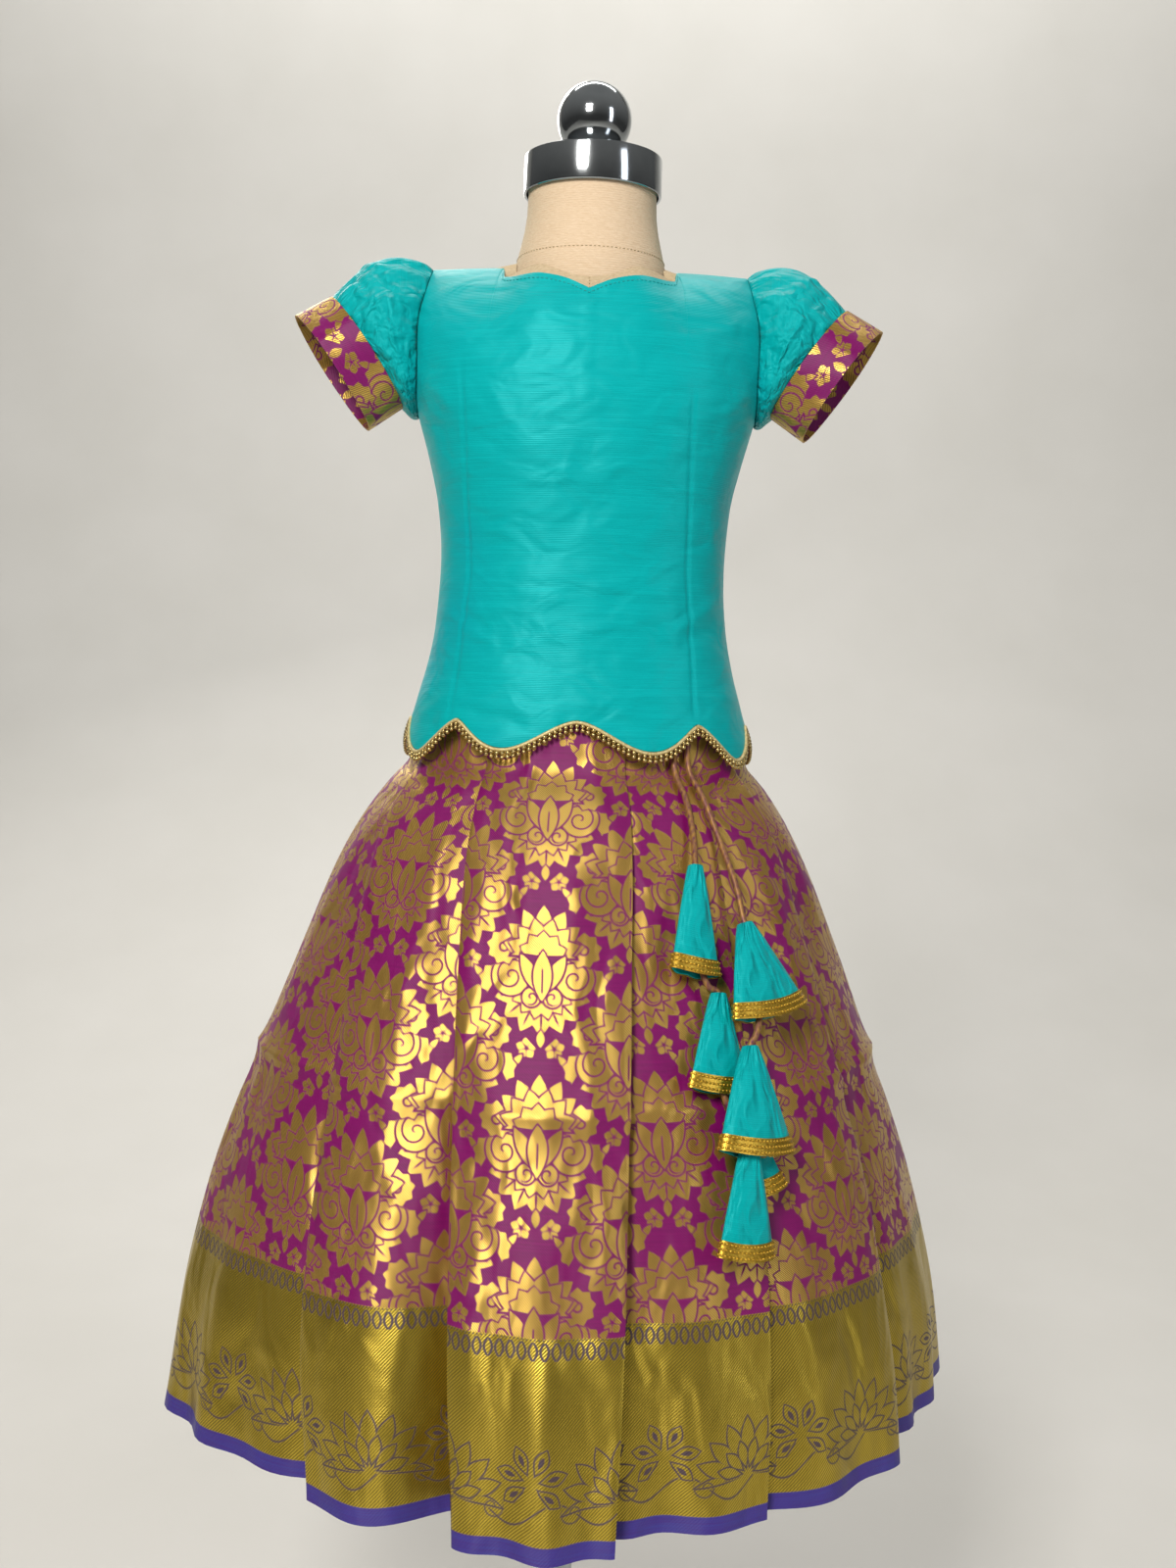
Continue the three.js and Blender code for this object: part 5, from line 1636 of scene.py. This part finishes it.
def repeated(name, lines, pitch, size, finish):
    """A mesh of one small rounded shape repeated along each line, where a line is (points, closed)."""
    vertices, edges = [], []
    for points, closed in lines:
        first = len(vertices)
        vertices += np.asarray(points).tolist()
        last = len(vertices) - 1
        edges += [(i, i + 1) for i in range(first, last)]
        if closed:
            edges.append((last, first))
    source = link_piece(name + "_line", vertices, [], edges)
    modifier = source.modifiers.new("repeat", "NODES")
    modifier.node_group = repeat_along
    values = {"Pitch": pitch * MM, "Size": [s * MM for s in size], "Finish": finish}
    for item in repeat_along.interface.items_tree:
        if item.in_out == "INPUT" and item.name in values:
            modifier[item.identifier] = values[item.name]
    result = applied(source)
    bpy.data.objects.remove(source)
    piece = bpy.data.objects.new(name, result)
    bpy.context.collection.objects.link(piece)
    print(name, "has", len(result.polygons), "faces")
    return piece


# %% Hem trim
BEAD_RADIUS = 1.55
BEAD_PITCH = 3.7
BLOUSE_HEM_RADIUS = 110


def hem_line(off, drop, shift=0.0, count=720):
    t = np.linspace(0, 2 * np.pi, count, endpoint=False) + shift
    z = hem_height(t)
    points = trunk(t, z, off)
    points[:, 2] += drop
    return points


piping = tube("hem_piping", hem_line(0.7, -1.4), 1.15, 10, closed=True)
piping.data.materials.append(piping_cream)
stagger = BEAD_PITCH / 2 / BLOUSE_HEM_RADIUS
bead_rows = [(hem_line(1.2, -3.5), True), (hem_line(1.2, -6.2, stagger), True)]
beads = repeated("hem_beads", bead_rows, BEAD_PITCH, (BEAD_RADIUS,) * 3, gilt)

# %% Braid on the bells
braid_lines = [(grid[row], True) for grid in braid_rims.values() for row in (1, 3, 5)]
braid_beads = repeated("bell_braid_loops", braid_lines, 2.6, (1.25, 0.8, 0.9), braid_gold)

# %% [markdown]
# ## Dress form
#
# The form has a jersey-covered trunk with a low neck, a ribbed collar, a chromed cap with a ball on
# it, and a pole on a round base. Turned pieces follow a profile. The trunk is a skin through rings,
# and a Boolean cuts the neck's socket into it.

# %% Dress form
NECK = [
    (0, 1088), (52, 1088), (51.6, 1098), (49.6, 1108), (47.4, 1117), (45.2, 1127),
    (43.7, 1137), (43.2, 1150), (42.9, 1159), (0, 1159),
]
CAP = [
    (0, 1160), (44.2, 1160), (44.6, 1151.8), (45.0, 1151.5), (45.8, 1151.4), (46.25, 1151.8),
    (46.4, 1152.6), (46.4, 1175), (46.2, 1175.8), (45.4, 1176.3), (0, 1176.3),
]
POLE = [(0, 14.3), (11.4, 14.3), (12, 14.9), (12, 701.1), (11.4, 701.7), (0, 701.7)]
BASE = [(0, 0), (144.2, 0), (145, 0.8), (145, 9.6), (144.2, 12), (143, 13.4), (141, 14), (0, 14)]
BALL_RADIUS, BALL_CENTRE, BALL_FOOT, BALL_FOOT_Z = 25.0, 1202.0, 11.0, 1176.6
FORM_CLEARANCE = 3.7
HIPS_TOP = HIPS["z"][-1]


def ball_profile():
    start = np.arcsin(BALL_FOOT / BALL_RADIUS)
    turn = np.linspace(start, np.pi, 40)
    arc = [(BALL_RADIUS * np.sin(a), BALL_CENTRE - BALL_RADIUS * np.cos(a)) for a in turn]
    foot = [(0, BALL_FOOT_Z), (BALL_FOOT, BALL_FOOT_Z)]
    return [*foot, *arc[:-1], (0, BALL_CENTRE + BALL_RADIUS)]


def form_trunk():
    """The jersey-covered trunk, closed below and above."""
    inside = -BLOUSE_WALL - FORM_CLEARANCE
    t = np.linspace(0, 2 * np.pi, 128, endpoint=False) + 0.02
    rings = []
    for z in [*np.linspace(702, HIPS_TOP, 26), *np.linspace(HIPS_TOP + 7, UNDERARM_Z, 18)]:
        height = np.full(len(t), z)
        rings.append(trunk(t, height, 0, HIPS) if z <= HIPS_TOP else trunk(t, height, inside))
    for lift in np.linspace(0.05, 1.34, 26):
        rings.append(shoulder(t, np.full(len(t), lift), inside))
    grid = np.arange(len(rings) * len(t)).reshape(len(rings), len(t))
    faces = strip_quads(closed_round(grid)).tolist() + [grid[0].tolist(), grid[-1].tolist()]
    piece = link_piece("form_trunk", np.concatenate(rings), faces)
    close_outwards(piece)
    return piece


def cut_socket(piece):
    """Takes the neck's socket out of the trunk."""
    socket = turned_piece("socket", [(0, 1087.7), *[(r + GAP, z) for r, z in NECK[1:-1]], (0, 1159)])
    modifier = piece.modifiers.new("socket", "BOOLEAN")
    modifier.operation = "DIFFERENCE"
    modifier.solver = "EXACT"
    modifier.object = socket
    result = applied(piece)
    piece.modifiers.remove(modifier)
    piece.data = result
    bpy.data.objects.remove(socket)
    close_outwards(piece)


form_torso = form_trunk()
cut_socket(form_torso)
form_torso.data.materials.clear()
form_torso.data.materials.append(form_jersey)
form_neck = turned_piece("form_collar", NECK)
form_neck.data.materials.append(collar_jersey)
form_cap = turned_piece("form_neck_cap", CAP)
form_ball = turned_piece("form_finial", ball_profile())
form_pole = turned_piece("form_stand_pole", POLE, 48)
form_base = turned_piece("form_stand_base", BASE, 128)
for piece in (form_cap, form_ball, form_pole, form_base):
    piece.data.materials.append(chromed_steel)
print("form trunk faces:", len(form_torso.data.polygons))

# %% Stitches
NECK_ROW = -3  # the third row of the front's grid below the neckline
STITCH_RAISE = 0.15
COLLAR_SEAM_RADIUS, COLLAR_SEAM_Z = 49.75, 1108.0
neck = np.abs(front_face[-1, :, 0]) < 57
neck_line = front_face[NECK_ROW, neck] + front_out[NECK_ROW, neck] * STITCH_RAISE
inside = -BLOUSE_WALL - FORM_CLEARANCE + STITCH_RAISE
middle_line = shoulder(np.zeros(24), np.linspace(0.6, 0.86, 24), inside)
angle = np.linspace(0, 2 * np.pi, 180, endpoint=False)
ring = [COLLAR_SEAM_RADIUS * np.cos(angle), COLLAR_SEAM_RADIUS * np.sin(angle)]
collar_line = np.stack([*ring, np.full(180, COLLAR_SEAM_Z)], -1)
neck_stitches = repeated("neckline_stitches", [(neck_line, False)], 3.0, (0.95, 0.32, 0.32), stitch_teal)
form_stitches = repeated(
    "form_middle_stitches", [(middle_line, False)], 2.6, (0.8, 0.3, 0.3), stitch_beige
)
collar_stitches = repeated("collar_stitches", [(collar_line, True)], 2.8, (0.85, 0.3, 0.3), stitch_beige)

# %% [markdown]
# ## Floor, wall and lights
#
# The floor and the wall are one sheet with a wide bend between them, which leaves no corner line
# behind the cloth. A soft light from the upper left does most of the work, a weak one fills from
# the right, a long one washes the wall, and one behind the set lights its back. The world is dim,
# and darker below, which leaves the gold something dark to reflect between the lights.


# %% Floor and wall
BACKDROP = {"bend": 2100.0, "front": -3600.0, "back": 3000.0, "half": 4200.0, "high": 5200.0}
UNDER_BASE = 0.5  # the floor lies this far under the base


def make_backdrop(bend, front, back, half, high):
    angle = np.linspace(0, np.pi / 2, 24)
    curve = [(back - bend + bend * np.sin(a), bend - bend * np.cos(a)) for a in angle]
    curve = [(front, 0.0), *curve, (back, high)]
    points = [[x, y, z - UNDER_BASE] for y, z in curve for x in (-half, half)]
    faces = [[2 * i, 2 * i + 1, 2 * i + 3, 2 * i + 2] for i in range(len(curve) - 1)]
    piece = link_piece("backdrop", points, faces)
    piece.data.polygons.foreach_set("use_smooth", np.ones(len(faces), bool))
    return piece


backdrop = make_backdrop(**BACKDROP)
backdrop.data.materials.append(
    noisy_material("pale_wall_paint", "#CFCDC8", "#D6D4D0", 3.0, EVEN, 0.95, 0.0, 0.0001)
)
print("backdrop faces:", len(backdrop.data.polygons))


# %% Lights
# place and target in metres, width and height in metres, power in watts, tint
LIGHTS = {
    "key": ((-0.55, -1.8, 1.9), (0, 0, 0.75), (0.5, 0.7), 40, "#FFFBF5"),
    "fill": ((1.7, -1.3, 1.4), (0, 0, 0.7), (0.35, 1.4), 7, "#F4F7FF"),
    "wall": ((0, 1.5, 3.9), (0, 2.9, 1.6), (3.0, 0.7), 80, "#FFFEFA"),
    "behind": ((-0.7, 1.7, 2.0), (0, 0, 0.75), (0.9, 1.2), 16, "#FFFBF5"),
}


def soft_light(name, place, target, size, power, tint):
    data = bpy.data.lights.new(name, "AREA")
    data.shape = "RECTANGLE"
    data.size, data.size_y = size
    data.energy = power
    data.color = colour(tint)[:3]
    light = bpy.data.objects.new(name, data)
    direction = np.array(target, float) - np.array(place, float)
    light.rotation_euler = Vector(direction).to_track_quat("-Z", "Y").to_euler()
    light.location = place
    light.visible_camera = False
    bpy.context.collection.objects.link(light)


for name, light in LIGHTS.items():
    soft_light(name, *light)
print("lights:", list(LIGHTS))

# %% World
world = bpy.data.worlds.new("studio")
world.use_nodes = True
sky = world.node_tree
sky.nodes.clear()
compass = add_node(sky, "ShaderNodeTexCoord").outputs["Generated"]
height = add_node(sky, "ShaderNodeSeparateXYZ", {}, {"Vector": compass}).outputs["Z"]
glow = formula(sky, "0.05 + 0.24 * unit(z * 1.1 + 0.02)", z=height)
air = add_node(sky, "ShaderNodeBackground", {}, {"Color": colour("#F1F0EC"), "Strength": glow})
add_node(sky, "ShaderNodeOutputWorld", {}, {"Surface": air.outputs[0]})
bpy.context.scene.world = world
bpy.context.scene.view_settings.view_transform = "Standard"
print("world nodes:", len(sky.nodes))

# %% [markdown]
# ## Join the pieces to the frame
#
# Every piece rides on the one body and stands for the solid that it follows. Each cloth also says
# how large it was when it was cut.

# %% Replace the solids
replacements = {
    "form_torso": (form_torso, "form_jersey"),
    "form_neck": (form_neck, "collar_jersey"),
    "form_cap": (form_cap, "chromed_steel"),
    "form_ball": (form_ball, "chromed_steel"),
    "form_pole": (form_pole, "chromed_steel"),
    "form_base": (form_base, "chromed_steel"),
    "blouse_front": (blouse_front, "blouse_silk"),
    "blouse_back_left": (blouse_back_left, "blouse_silk"),
    "blouse_back_right": (blouse_back_right, "blouse_silk"),
    "hem_trim": (piping, "gold_bead_trim"),
    "skirt_front": (skirt_front, "skirt_brocade"),
    "skirt_back": (skirt_back, "skirt_brocade"),
}
for side in SIDES:
    replacements[f"sleeve_{side}"] = (sleeves[side], "blouse_silk")
    replacements[f"cuff_{side}"] = (cuffs[side], "skirt_brocade")
for name, (shell, _) in bell_pieces.items():
    replacements[name] = (shell, "bell_silk")
for name, piece in cord_pieces.items():
    replacements[name] = (piece, "skirt_brocade")
for node, (piece, finish) in replacements.items():
    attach(piece, "root")
    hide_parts(node)
extras = [
    (beads, "gold_bead_trim"),
    (braid_beads, "gold_bead_trim"),
    (neck_stitches, "blouse_silk"),
    (form_stitches, "form_jersey"),
    (collar_stitches, "collar_jersey"),
]
extras += [(strip, "gold_bead_trim") for _, strip in bell_pieces.values()]
for piece, finish in extras:
    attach(piece, "root")
print("solids replaced:", len(replacements), "and pieces added:", len(extras))

# %% Cut sizes of the cloth
# width, length and the cut's own area where it is not a rectangle, in metres
BELL_CUTS = {
    "bell_1": ((0.077, 0.069), 0.0038),
    "bell_2": ((0.136, 0.061), 0.0052),
    "bell_3": ((0.091, 0.060), 0.0037),
    "bell_4": ((0.123, 0.065), 0.0051),
    "bell_5": ((0.070, 0.044), 0.0022),
    "bell_6": ((0.085, 0.067), 0.0039),
}

for name, (flat, area) in BELL_CUTS.items():
    shell = bell_pieces[name][0]
